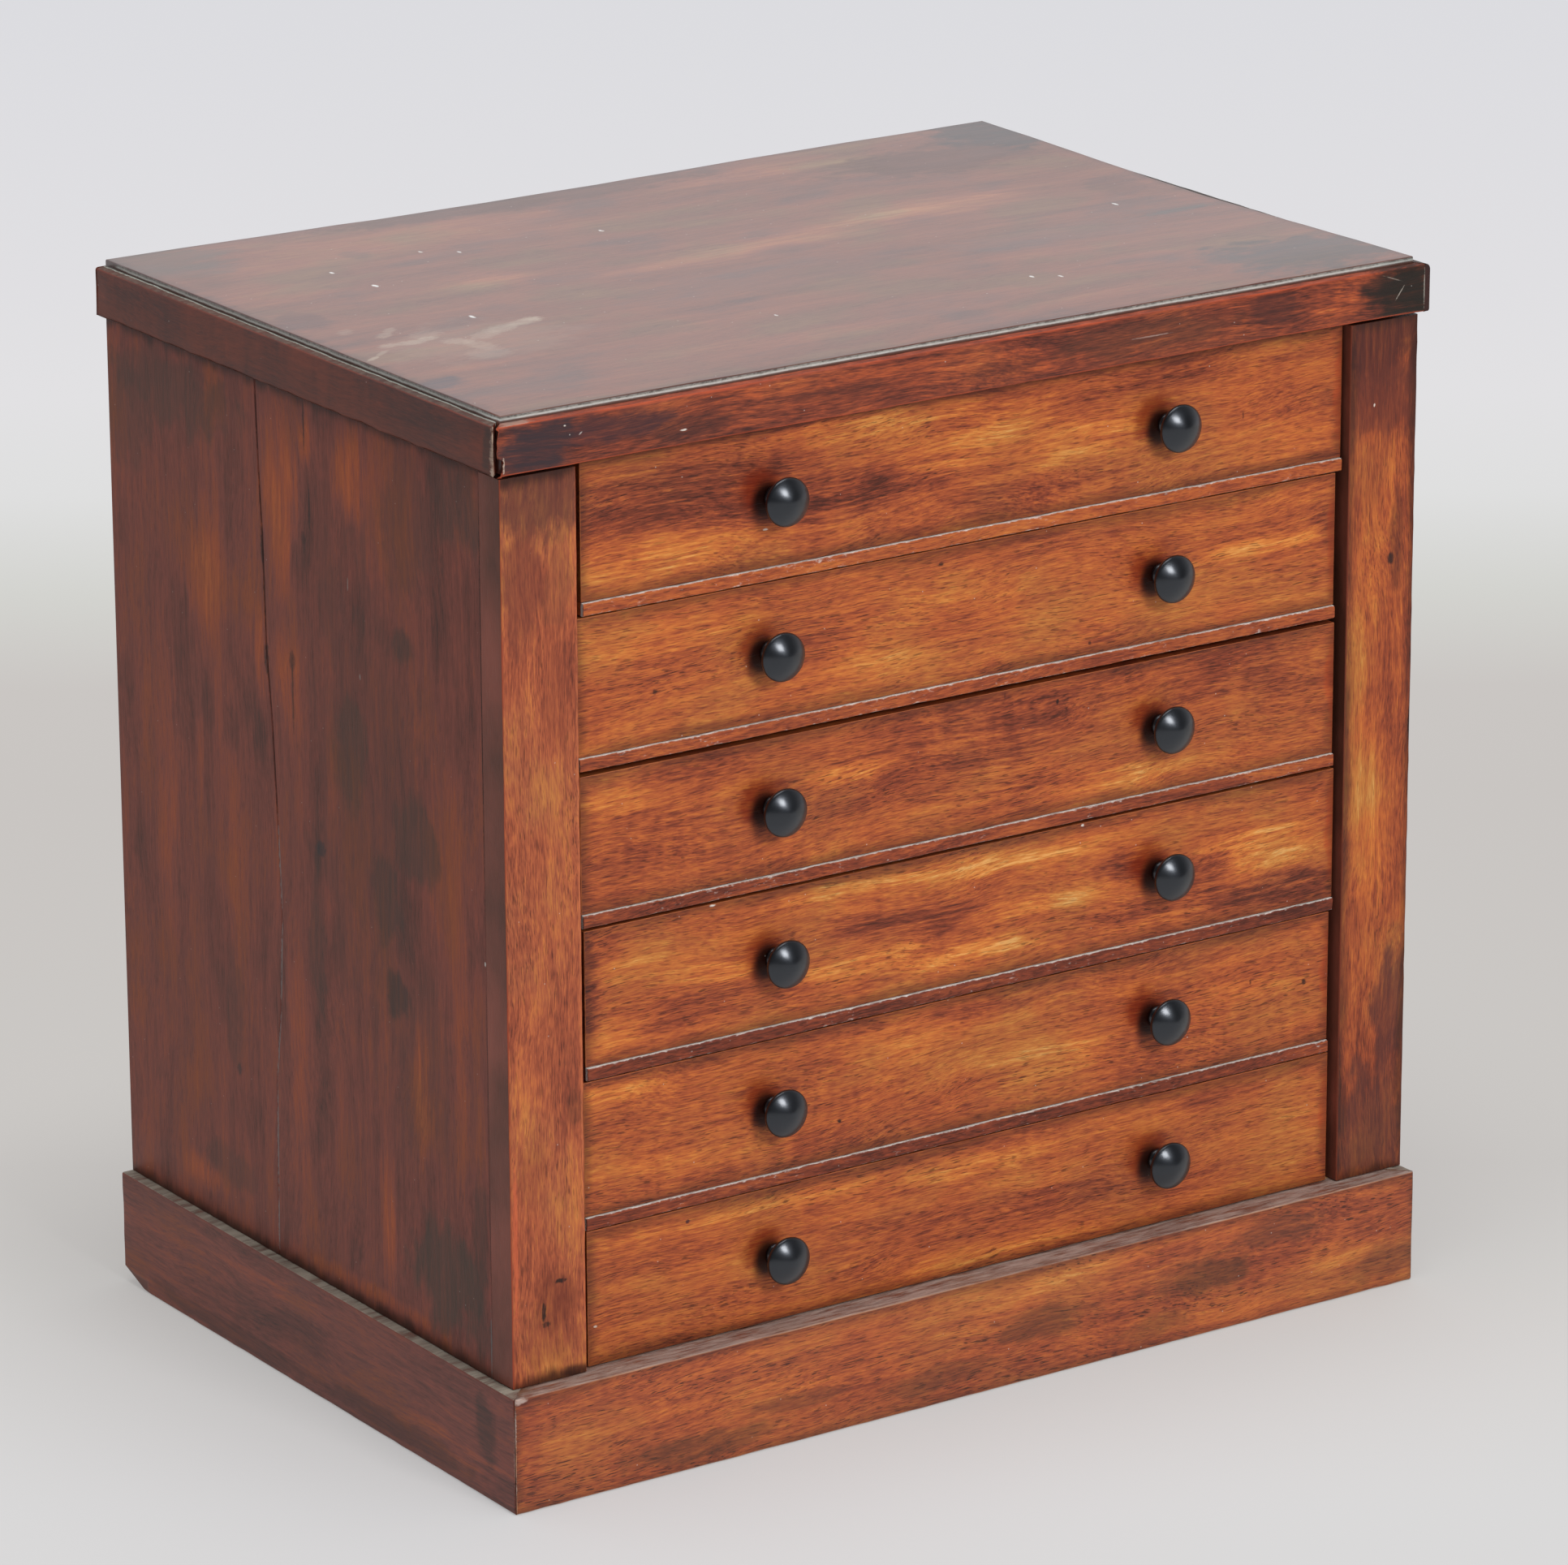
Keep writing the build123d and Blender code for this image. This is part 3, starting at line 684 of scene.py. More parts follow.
top_wood = old_wood(
    "faded mahogany of the top", TOP_TONES, face=on_top, seed=4.4, base=0.47, bands=0.12, streaks=0.07,
    fibres=0.07, ripples=0.0, clouds=0.34, olive=0.95, flames=(0.7, 1.1), pores=0.3,
    edges=in_mm("top_board", X, Y), edge_grime_and_shade=0.4, worn="#4a1c14", roughness=0.4, specular=0.45, coat=0.56,
    specks=0.7, wax_heights=(LEDGE, 444.7),
    patches=[
        (30, 27, 126, 15.6, 0.2, 6), (112, 40, 57.5, 16.9, 0.17), (-110, 120, 103, 31.2, 0.12),
        (90, 134, 57.5, 11.7, 0.16), (-110, 38, 27.6, 15.6, 0.16), (-180, -76, 28.7, 5.2, 0.12),
        (-206, 100, 16.1, 26, -0.096), (-60, -110, 103, 10.4, 0.06), (120, -120, 80.5, 10.4, 0.048),
        (-190, 66, 34.5, 15.6, 0.096),
    ],
    stains=[
        (-20, 149, 115, 12, 0.85, "#583629"), (160, 108, 66, 28, 0.85, "#5a382c"),
        (206, 138, 30, 36, 1.0, "#3b2f2b"), (-206, 22, 14, 17, 0.6, "#4f322e"),
        (200, 30, 16, 22, 0.5, "#55362f"), (-210, -90, 12, 10, 0.8, "#37323a"),
        (188, -112, 52, 34, 0.9, "#483e3a"), (-15, -25, 74, 26, 0.4, "#664a42"),
        (-186, -116, 30, 14, 0.35, "#54403a"), (-130, 106, 9, 8, 0.45, "#54423c"),
        (-196, 118, 26, 12, 0.4, "#5a4c44"), (120, -30, 60, 16, 0.35, "#64504a"),
        (-165, -45, 50, 34, 0.1, FADED), (-200, 142, 32, 28, 0.7, "#5b4a3e"),
    ],
    marks=[(*wisp, FADED, lean) for *wisp, lean in WISPS] + [
        (196, -20, 24, 3.5, 0.5, "#3f4a46", 5), (150, 3, 36, 2.4, 0.35, "#4c3a36", 5),
        (-155, 85, 0.9, 1.8, 1.0, CHIPPED), (-152, 56, 1.2, 2.6, 1.0, CHIPPED),
        (-147, -10, 1.2, 2.6, 1.0, CHIPPED), (-25, 85, 0.9, 2.0, 0.9, CHIPPED),
        (179, 3, 0.9, 2.4, 1.0, CHIPPED), (73, -84, 0.9, 1.8, 1.0, CHIPPED),
        (83, -90, 0.9, 1.8, 0.9, CHIPPED), (-106, 96, 0.8, 1.6, 0.8, CHIPPED),
        (-93, 87, 0.8, 1.6, 0.8, CHIPPED), (-47, -77, 0.7, 1.4, 0.7, CHIPPED),
    ],
)
front_edging_wood = old_wood(
    "dark mahogany of the front strip", EDGING_TONES, seed=6.2, base=0.46, bands=0.18, streaks=0.28,
    fibres=0.3, clouds=0.22, olive=0.45, pores=0.6, dust=0.7, dust_tones=("#74301f", "#b0553a"),
    worn="#b04a28", specular=0.3, specks=0.5,
    patches=[
        (-95, 434, 48.4, 7.7, 0.15), (-20, 434, 55, 6.6, 0.15), (178, 431, 16.5, 11, 0.2),
        (20, 427, 37.4, 4.4, 0.15), (-217, 433, 6.6, 7.7, 0.17), (100, 428, 55, 4.4, 0.09),
    ],
    stains=[
        (-203, 431, 26, 15, 1.0, "#37282c"), (-165, 434, 28, 7, 0.85, "#3d2428"),
        (-134, 429, 20, 6, 0.6, "#44241f"), (-66, 432, 34, 4, 0.45, "#4c261e"),
        (80, 432, 54, 9, 0.55, "#553022"), (146, 434, 18, 9, 0.7, "#4a251f"),
        (212, 430, 18, 14, 1.0, "#211a14"), (200, 434, 13, 8, 0.95, "#241a15"),
        (219, 436, 14, 14, 1.0, "#211a14"), (10, 430, 22, 5, 0.4, "#45241c"),
    ],
    marks=[
        (207, 438, 5.5, 0.3, 0.35, "#b3a596", -20), (210.5, 431.5, 4.2, 0.3, 0.5, "#c3b8aa", 52),
        (223.2, 432, 0.35, 9, 0.7, "#9d998e"), (-139, 428, 1.6, 0.5, 0.9, "#d8cfc4"),
        (-224.2, 435, 0.5, 7, 0.8, "#c4ae9c"), (-220.6, 426.5, 0.5, 3.4, 0.8, "#c4ae9c"),
        (-214, 441.7, 8, 0.35, 0.5, "#a8998b"), (-193, 438, 0.7, 0.35, 0.8, "#d8cfc4"),
        (-186, 434, 0.35, 1.0, 0.6, "#c9c0b8", -50), (212, 442, 18, 2.2, 0.85, "#2a1d17"),
        (85, 432, 11, 0.35, 0.4, "#c0a89c"),
    ],
    seams=[((0, -144.7, LEDGE), (800, 0.8, 3), 0.5, "#4a3029")],
)
side_edging_wood = old_wood(
    "dark mahogany of the end strips", EDGING_TONES, face=on_side, grain=Y, seed=8.5, base=0.34, bands=0.06,
    streaks=0.08, fibres=0.08, olive=0.2, pores=0.3, dust=0.75, dust_tones=("#3d2c26", "#6b5c52"),
    worn="#7c3a28", specular=0.3, specks=0.4,
    stains=[(-143, 432, 4, 12, 0.7, "#2a2420")],
    marks=[(-147.4, 432, 1.3, 12, 0.85, "#c0aa97"), (-146.6, 423, 2.2, 2.6, 0.8, "#c9b5a3")],
    seams=[
        ((-222.8, -146.5, 431), (2.6, 2.2, 12), 0.7, "#b39c88"),
        ((-219.1, 0, LEDGE), (1.1, 800, 3), 0.7, "#b9beb5"),
    ],
)
black_edging_wood = old_wood(
    "blackened mahogany of the right end strip", EDGING_TONES, grain=Y, seed=4.5, base=0.1, bands=0.04,
    streaks=0.05, fibres=0.05, olive=0.2, pores=0.2, dust=0.5, dust_tones=("#2f2b27", "#5f5a52"),
    worn="#2b1b16", specular=0.35,
)
# The strips under the upper drawers are golden, those of the lower ones dark red
STRIP_BASE = {1: 0.53, 2: 0.47, 3: 0.4, 4: 0.33, 5: 0.35}
STRIP_NOSES = {1: "#b05a2c", 2: "#a04f2a", 3: "#8a4328", 4: "#73362a", 5: "#7a3a28"}


def strip_wood(number):
    return old_wood(
        f"mahogany of the strip under drawer {number}", FRONT_TONES, seed=9.7 + 1.3 * number,
        base=STRIP_BASE[number], olive=0.2, pores=0.7, worn=STRIP_NOSES[number], specks=0.3,
        # a pale line along the top of the nose, where it meets the drawer's front: dust, and a painted
        # highlight of the rounded arris
        seams=[((0, -143.1, 300), (900, 1.0, 900), 0.95, "#e8e4dc")],
    )


# Planed mahogany, oiled and handled but never polished: matt, with plain grain
lining_wood = old_wood(
    "planed mahogany of the drawer linings", LINING_TONES, grain=Y, seed=2.2, base=0.55, bands=0.1,
    streaks=0.1, fibres=0.08, ripples=0.0, clouds=0.1, olive=0.1, pores=0.45, roughness=0.65, specular=0.2,
)
# Bare pine, sawn and planed, gone brown with age: matt, broad soft bands, no open pores
inner_wood = old_wood(
    "aged pine of the inside", PINE_TONES, seed=5.8, base=0.5, bands=0.16, streaks=0.1, fibres=0.06,
    ripples=0.0, clouds=0.1, olive=0.1, pores=0.1, roughness=0.72, specular=0.15,
)
back_wood = old_wood(
    "aged pine of the back", PINE_TONES, face=on_back, seed=7.3, base=0.47, bands=0.2, streaks=0.12,
    fibres=0.1, ripples=0.0, clouds=0.14, olive=0.1, pores=0.15, roughness=0.72, specular=0.15,
    stains=[
        (-150, 90, 90, 16, 0.4, "#5f3d26"), (70, 64, 160, 9, 0.35, "#5f3d26"),
        (120, 330, 70, 30, 0.3, "#6b472e"), (-60, 410, 160, 8, 0.4, "#5a3823"),
    ],
    marks=[
        (0, 49.5, 900, 0.8, 0.9, "#24150e"), (-118, 250, 5, 3.4, 0.85, "#4a2716"),
        (64, 374, 6, 4, 0.85, "#4a2716"), (162, 128, 4.5, 3, 0.85, "#4a2716"),
        (-30, 120, 3.4, 2.4, 0.8, "#4a2716"),
    ],
)


# Ebonised wood of the knobs: turned, stained black and polished, so it gives one soft highlight

def ebonised_wood():
    material, tree, shader = new_material("ebonised wood of the knobs")
    place = in_millimetres(tree)
    rubbed = mottle(tree, place, (6, 6, 6), detail=4, roughness=0.65)
    turning = mottle(tree, place, (2, 0.3, 2), detail=1)
    connect(shader, {
        "Base Color": add(tree, "ValToRGB", (rubbed,), stops=[(0.3, "#050506"), (0.7, "#0c0d0f")]),
        "Roughness": add(tree, "MapRange", (rubbed, 0.25, 0.75, 0.3, 0.35), **SMOOTH),
        "Normal": add(tree, "Bump", {"Strength": 0.1, "Distance": 0.0001, "Height": turning}),
        "IOR": 1.5, "Specular IOR Level": 0.55, "Specular Tint": linear("#e2edff"),
        "Coat Weight": 0.55, "Coat Roughness": 0.2,
    })
    return material


knob_wood = ebonised_wood()


# The drawers' fronts: figured mahogany, each cut from another stretch of board, with golden streaks where
# the grain turns to the light

FRONT_PATCHES = {
    1: [
        (-150, 377, 67.6, 8.75, 0.29), (-140, 400, 65, 17.5, -0.15), (-35, 412, 58.5, 10, 0.24),
        (8, 401, 44.2, 10, 0.26, 12), (60, 393, 41.6, 15, 0.22), (-70, 386, 52, 15, -0.15),
        (30, 374, 65, 8.75, -0.12), (150, 402, 49.4, 15, 0.06), (150, 379, 46.8, 11.2, 0.072),
        (100, 414, 26, 6.25, -0.09),
    ],
    2: [
        (-150, 345, 54.6, 7.5, 0.16), (-40, 318, 33.8, 10, 0.16), (-30, 335, 52, 10, 0.072),
        (142, 333, 46.8, 5, 0.29), (179, 342, 10.4, 17.5, -0.23), (30, 353, 83.2, 6.25, -0.096),
        (78, 309, 23.4, 7.5, -0.096), (60, 322, 65, 7.5, 0.1, -4),
    ],
    3: [
        (-165, 282, 31.2, 6.25, 0.16), (-48, 273, 36.4, 5.62, 0.3), (-130, 285, 36.4, 8.75, -0.084),
        (30, 278, 80.6, 15, -0.12), (82, 247, 49.4, 6.25, 0.26), (145, 278, 49.4, 17.5, -0.096),
        (20, 255, 67.6, 10, 0.1), (-120, 258, 65, 12.5, -0.03), (134, 272, 5.2, 22.5, 0.1),
    ],
    4: [
        (-52, 226, 57.2, 5.62, 0.26), (-125, 203, 33.8, 5.62, 0.24, -8), (-50, 193, 46.8, 7.5, 0.29),
        (-170, 184, 20.8, 7.5, 0.19), (-38, 206, 33.8, 8.75, -0.19), (-181, 200, 6.5, 32.5, -0.18),
        (-165, 212, 26, 6.25, 0.19), (22, 222, 67.6, 7.5, 0.29), (-6, 204, 18.2, 8.75, -0.19),
        (42, 200, 46.8, 6.25, 0.26), (6, 186, 39, 5.62, 0.3), (76, 209, 16.9, 7.5, -0.19),
        (146, 209, 36.4, 5, 0.34), (150, 200, 33.8, 7.5, 0.22), (121, 196, 15.6, 11.2, -0.22),
        (160, 185, 39, 8.75, -0.22), (95, 183, 36.4, 3.75, 0.19),
    ],
    5: [
        (-168, 162, 23.4, 6.25, 0.23), (-34, 152, 28.6, 16.2, 0.13), (-130, 128, 65, 10, 0.072),
        (50, 135, 49.4, 5.62, 0.23, -4), (42, 128, 41.6, 3.75, 0.19), (30, 161, 72.8, 10, -0.096),
        (142, 143, 46.8, 10, 0.13), (130, 163, 49.4, 7.5, -0.11), (90, 120, 78, 5, -0.048),
    ],
    6: [
        (-100, 99, 93.6, 5.62, 0.2), (6, 95, 46.8, 6.25, 0.26), (122, 98, 19.5, 6.25, -0.17),
        (60, 73, 72.8, 7.5, -0.096), (20, 55, 59.8, 4.38, 0.23), (165, 75, 26, 25, 0.072),
        (-140, 74, 57.2, 17.5, 0.043), (-40, 76, 65, 10, -0.06), (40, 83, 52, 6.25, 0.086),
    ],
}
FRONT_MARKS = {
    1: [(-97, 380, 1.5, 0.5, 0.8, "#e2d9cc"), (136, 390, 0.6, 2.0, 0.7, "#3a1710")],
    2: [
        (-13.5, 352, 1.8, 1.0, 0.9, "#1d1110"), (-149, 323, 1.4, 1.2, 0.8, "#241312"),
        (60, 307, 1.0, 0.9, 0.8, "#241312"),
    ],
    3: [(44, 285, 0.9, 1.5, 0.9, "#16100f"), (18, 292, 0.6, 1.6, 0.5, "#3a1710")],
    4: [(57, 230.4, 0.9, 0.7, 0.9, "#d9d2c8"), (-123, 230.6, 1.6, 0.5, 0.9, "#d9d2c8")],
    5: [
        (-62.9, 128, 1.2, 1.0, 0.95, "#1a1512"), (171.9, 140.5, 1.3, 1.6, 0.9, "#24120f"),
        (144, 146, 0.7, 1.4, 0.7, "#3a1710"),
    ],
    6: [(-136, 100.8, 1.2, 1.0, 0.9, "#2c1024"), (-180, 66, 1.0, 0.7, 0.7, "#cfc4b6")],
}
FRONT_BASE = {1: 0.51, 2: 0.57, 3: 0.52, 4: 0.54, 5: 0.55, 6: 0.54}

face_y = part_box("drawer_1_front")[0].y
for number in DRAWERS:
    sides, height = knob_places(number)
    end = in_mm(f"drawer_{number}_front", X)[X][1]
    wood = old_wood(
        f"figured mahogany of drawer {number}", FRONT_TONES, seed=1.13 * number + 0.4,
        base=FRONT_BASE[number], streaks=0.19, fibres=0.25, ripples=0.035, pores=0.75, specks=0.5,
        edges=in_mm(f"drawer_{number}_front", X, Z), edge_grime_and_shade=0.5,
        knobs=[(x / MM, face_y / MM, height / MM) for x in sides],
        patches=FRONT_PATCHES[number],
        # the right end, in the shadow of the stile, has kept its red polish
        stains=[(end, height / MM, 5, 30, 0.6, "#b8461a")],
        marks=FRONT_MARKS[number],
    )
    paint(f"drawer_{number}_front", wood)
    for part in ("left_side", "right_side", "back", "bottom"):
        paint(f"drawer_{number}_{part}", lining_wood)
INNER_NODES = (
    "plinth_back", "plinth_glue_blocks", "bottom_board", "left_runners", "right_runners", "left_guides",
    "right_guides",
)
for node in INNER_NODES:
    paint(node, inner_wood)
paint("back_boards", back_wood)

# The carcass's boards

HAIR = 0.05 * MM  # how near a face or edge has to be to count as lying on a plane
LONG = 50 * MM  # an edge longer than this runs along its board
UPRIGHT = 5 * MM  # an edge that climbs more than this stands upright
STEP = 7 * MM  # how far apart the lines lie that let a board's arrises wear unevenly


def stile(node, material):
    low, high = place_of(node)
    piece = new_block(node + "_worn", low, high)
    round_edges(piece, 0.9 * MM, lambda m, d: m.y < low[Y] + HAIR and abs(d.z) > abs(d.x))
    score(piece, Z, steps(low[Z], high[Z], 6 * MM))
    ease(piece, 0.2 * MM)
    wear(piece, depth=0.5 * MM, size=9 * MM, wanted=lambda c: c.y < low[Y] + 1 * MM)
    dress(piece, material, "carcass", "front mahogany", node)


stile("left_stile", left_stile_wood)
stile("right_stile", right_stile_wood)


def side(node, hand):
    """A side board; behind it runs the tongue that covers the ends of the back boards."""
    low, high = place_of(node)
    outer = low[X] if hand < 0 else high[X]
    back_low, back_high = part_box("back_boards")
    tongue = back_low.x if hand < 0 else back_high.x
    piece = new_block(node + "_polished", low, [high[X], back_low.y, high[Z]])
    score(piece, X, [tongue])
    pick(piece, "FACE", lambda c, n: n.y > 0.9 and abs(c.x - (tongue + outer) / 2) < 1 * MM)
    bpy.ops.mesh.extrude_region_move(TRANSFORM_OT_translate={"value": (0, high[Y] - back_low.y, 0)})
    bpy.ops.object.mode_set(mode="OBJECT")
    if hand < 0:
        crack(piece, outer)
    round_edges(piece, 0.7 * MM, lambda m, d: m.y > high[Y] - HAIR and abs(m.x - outer) < HAIR, 3)
    dress(piece, side_wood, "carcass", "side mahogany", node)


def crack(piece, outer):
    """Opens the long crack in a side: a narrow groove that follows the wood."""
    width, depth = 0.7 * MM, 0.6 * MM
    middle = 30 * MM  # where the groove is scored, straight, before it is pushed to follow the wood
    near = 8 * MM
    score(piece, Z, [height * MM for height, _ in CRACK[1:-1]])
    score(piece, Y, [middle - width, middle, middle + width])
    for height, place in CRACK:

        def in_groove(c):
            beside = abs(c.z - height * MM) < near and abs(c.y - middle) < 1.5 * width
            return beside and abs(c.x - outer) < HAIR

        push(piece, in_groove, (0, place * MM - middle, 0))
    places = {round(height): place * MM for height, place in CRACK}

    def in_middle(c):
        nearest = min(places, key=lambda height: abs(height * MM - c.z))
        return abs(c.x - outer) < HAIR and abs(c.y - places[nearest]) < width / 2

    push(piece, in_middle, (depth, 0, 0))


side("left_side", -1)
side("right_side", 1)


def top():
    """The top board, which has sunk in the middle of its back and right edges."""
    low, high = place_of("top_board")
    piece = new_block("top_board_warped", low, high)
    score(piece, X, steps(low[X], high[X], 18 * MM))
    score(piece, Y, steps(low[Y], high[Y], 18 * MM))
    sagged = (
        ((low[X] + 0.4 * (high[X] - low[X]), high[Y]), 200 * MM, -1.3 * MM),
        ((high[X], low[Y] + 0.5 * (high[Y] - low[Y])), 150 * MM, -2.0 * MM),
    )
    for middle, reach, drop in sagged:
        pick(piece, "VERT", lambda c: c.z < high[Z] - HAIR)
        bpy.ops.mesh.hide(unselected=False)
        bpy.ops.object.mode_set(mode="OBJECT")
        upper = (v for v in piece.data.vertices if not v.hide)
        nearest = min(upper, key=lambda v: (v.co.xy - Vector(middle)).length)
        nearest.select = True
        bpy.ops.object.mode_set(mode="EDIT")
        bpy.ops.transform.translate(
            value=(0, 0, drop),
            use_proportional_edit=True,
            proportional_edit_falloff="SMOOTH",
            proportional_size=reach,
        )
        bpy.ops.mesh.reveal()
        bpy.ops.object.mode_set(mode="OBJECT")
    # a dent in the front edge
    dent = (0, 0.8 * MM, -0.5 * MM)
    upper = high[Z] - 4 * MM
    push(piece, lambda c: c.y < low[Y] + HAIR and -50 * MM < c.x < -20 * MM and c.z > upper, dent)

    def on_rim(middle, direction):
        outer_y = middle.y < low[Y] + 2 * MM or middle.y > high[Y] - HAIR
        outer_x = middle.x < low[X] + HAIR or middle.x > high[X] - HAIR
        return middle.z > upper and (outer_x or outer_y) and abs(direction.z) < UPRIGHT

    round_edges(piece, 0.7 * MM, on_rim, 3)
    wear(piece, depth=0.5 * MM, size=12 * MM)
    dress(piece, top_wood, "carcass", "top mahogany", "top_board")


top()


# The strips round the top: the front one, with its open mitre on the left, and the two end ones

BREAKS = [  # heights on the front strip's left end, and how much has splintered off there, in millimetres
    (422.8, 2.0), (423.8, 2.3), (425.2, 3.0), (426.4, 2.6), (427.5, 3.3), (428.5, 2.7), (429.5, 0.3),
    (432, 0.1), (434, 0.5), (436, 0.2), (438.5, 0.8), (440, 1.1),
]
FOOT_BREAK = 1.8  # and what has gone at its lower edge
SPLINTERED = 5 * MM  # how far the splintering reaches along the strip
LAP = 2.7 * MM  # the right mitre starts this far from the true corner

strip_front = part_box("edging_front")[0].y
board_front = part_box("top_board")[0].y
left_corner = (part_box("edging_left")[1].x, board_front, 0)
right_corner = (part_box("edging_right")[0].x, board_front, 0)
joint = Vector((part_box("edging_right")[1].x - LAP, strip_front, 0)) - Vector(right_corner)
right_mitre = Vector((abs(joint.y), abs(joint.x), 0))


def front_edging():
    low, high = place_of("edging_front")
    piece = new_block("edging_front_worn", low, high)
    saw(piece, left_corner, (-1, 1, 0))
    saw(piece, right_corner, right_mitre)
    round_edges(piece, 1.1 * MM, lambda m, d: m.y < low[Y] + HAIR and m.z > high[Z] - HAIR)
    round_edges(piece, 0.8 * MM, lambda m, d: m.y < low[Y] + HAIR and m.z < low[Z] + HAIR)
    score(piece, Z, [height * MM for height, _ in BREAKS])
    root = low[X] + SPLINTERED
    score(piece, X, [low[X] + share * SPLINTERED for share in (0.25, 0.5, 0.75, 1)])
    score(piece, X, steps(root, high[X], STEP))
    for height, gone in [(low[Z] / MM, FOOT_BREAK)] + BREAKS:
        pick(piece, "VERT", lambda c: c.x < root - HAIR and abs(c.z - height * MM) < 0.45 * MM)
        bpy.ops.transform.resize(value=(1 - gone * MM / SPLINTERED, 1, 1), center_override=(root, 0, 0))
        bpy.ops.object.mode_set(mode="OBJECT")
    ease(piece, 0.15 * MM)
    wear(piece, depth=0.7 * MM, size=8 * MM, wanted=lambda c: c.x < right_corner[X])
    dress(piece, front_edging_wood, "carcass", "edging mahogany", "edging_front")


def left_edging():
    """The left end strip, which has drawn back from its mitre."""
    low, high = place_of("edging_left")
    piece = new_block("edging_left_worn", low, high)
    saw(piece, (left_corner[X], board_front + (low[Y] - strip_front), 0), (1, -1, 0))
    round_edges(piece, 1.3 * MM, lambda m, d: m.x < low[X] + HAIR and m.z > high[Z] - HAIR)
    round_edges(piece, 0.8 * MM, lambda m, d: m.y < low[Y] + HAIR and abs(d.z) > UPRIGHT)
    score(piece, Y, steps(low[Y] + 6 * MM, high[Y], STEP))
    score(piece, Z, steps(low[Z], high[Z], 4 * MM))
    ease(piece, 0.2 * MM)
    wear(piece, depth=0.8 * MM, size=8 * MM)
    dress(piece, side_edging_wood, "carcass", "edging mahogany", "edging_left")


def right_edging():
    low, high = place_of("edging_right")
    piece = new_block("edging_right_worn", low, high)
    saw(piece, right_corner, -right_mitre)
    outer = high[X] - HAIR
    round_edges(piece, 2.6 * MM, lambda m, d: m.x > outer and m.z > high[Z] - HAIR, 6)
    round_edges(piece, 1.0 * MM, lambda m, d: m.x > outer and m.z < low[Z] + HAIR, 3)
    score(piece, Y, steps(low[Y] + 6 * MM, high[Y], STEP))
    ease(piece, 0.15 * MM)
    wear(piece, depth=0.5 * MM, size=8 * MM, wanted=lambda c: c.y > board_front or c.x > outer - 2 * MM)
    dress(piece, black_edging_wood, "carcass", "edging mahogany", "edging_right")


front_edging()
left_edging()
right_edging()


# The three polished boards of the plinth, mitred at the front corners, which are worn round

CORNER = 1.2 * MM  # how far the wear of a corner reaches
RUBBED_OFF = 0.45 * MM  # and how deep it goes


def plinth_front():
    low, high = place_of("plinth_front")
    piece = new_block("plinth_front_worn", low, high)
    round_edges(piece, 1.0 * MM, lambda m, d: m.y < low[Y] + HAIR and abs(d.x) > LONG)
    ease(piece, 0.3 * MM)
    saw(piece, (low[X], low[Y], 0), (-1, 1, 0))
    saw(piece, (high[X], low[Y], 0), (1, 1, 0))
    score(piece, X, [low[X] + CORNER, high[X] - CORNER] + steps(low[X], high[X], STEP))
    score(piece, Z, steps(low[Z], high[Z], STEP))
    for hand, end in ((1, low[X]), (-1, high[X])):
        inward = (hand * RUBBED_OFF, RUBBED_OFF, 0)
        push(piece, lambda c: abs(c.x - end) < CORNER / 2 and c.y < low[Y] + CORNER / 2, inward)

    def before_mitre(c):
        return min(c.x - low[X], high[X] - c.x) > c.y - low[Y] + HAIR

    wear(piece, depth=0.6 * MM, size=9 * MM, wanted=before_mitre)
    dress(piece, front_plinth_wood, "carcass", "front mahogany", "plinth_front")


def plinth_end(node, hand):
    low, high = place_of(node)
    outer = low[X] if hand < 0 else high[X]
    piece = new_block(node + "_worn", low, high)
    round_edges(piece, 1.0 * MM, lambda m, d: abs(m.x - outer) < HAIR and abs(d.y) > LONG)
    ease(piece, 0.3 * MM)
    saw(piece, (outer, low[Y], 0), (-hand, -1, 0))
    if hand < 0:
        # the corner at the back has been knocked off, over 18 mm of the foot and 7 mm of the end
        saw(piece, (0, high[Y] - 18 * MM, 0), (0, 7, -18))
    score(piece, Y, [low[Y] + CORNER] + steps(low[Y] + 16 * MM, high[Y], STEP))
    score(piece, Z, steps(low[Z], high[Z], STEP))
    inward = (-hand * RUBBED_OFF, RUBBED_OFF, 0)
    push(piece, lambda c: abs(c.x - outer) < CORNER / 2 and c.y < low[Y] + CORNER / 2, inward)
    wear(piece, depth=0.6 * MM, size=9 * MM, wanted=lambda c: c.y - low[Y] > abs(c.x - outer) + HAIR)
    dress(piece, side_plinth_wood, "carcass", "side mahogany", node)


plinth_front()
plinth_end("plinth_left", -1)
plinth_end("plinth_right", 1)


def drawer_strip(number):
    """The strip under a drawer's front, with a rounded and worn nose."""
    node = f"drawer_{number}_strip"
    low, high = place_of(node)
    piece = new_block(node + "_worn", low, high)
    round_edges(piece, 1.1 * MM, lambda m, d: m.y < low[Y] + HAIR and abs(d.x) > LONG)
    score(piece, X, steps(low[X], high[X], 5 * MM))
    ease(piece, 0.3 * MM)
    wear(piece, depth=0.6 * MM, size=6 * MM)
    dress(piece, strip_wood(number), f"drawer_{number}", "edging mahogany", node)


for number in DRAWERS[:-1]:
    drawer_strip(number)


# The turned knobs: rings of (radius, distance from the drawer's face), in millimetres

KNOB_RINGS = [
    (4.1, 0.0), (4.7, 0.5), (4.9, 1.2), (4.7, 1.9), (4.0, 2.5), (3.5, 3.6), (3.45, 4.9), (4.0, 6.3),
    (5.6, 7.4), (7.6, 7.9), (9.1, 8.3), (9.8, 9.0), (10.1, 9.9), (9.9, 10.7), (9.2, 11.3), (7.8, 12.3),
    (5.9, 13.4), (3.8, 14.3), (1.7, 14.9), (0.5, 15.0),
]


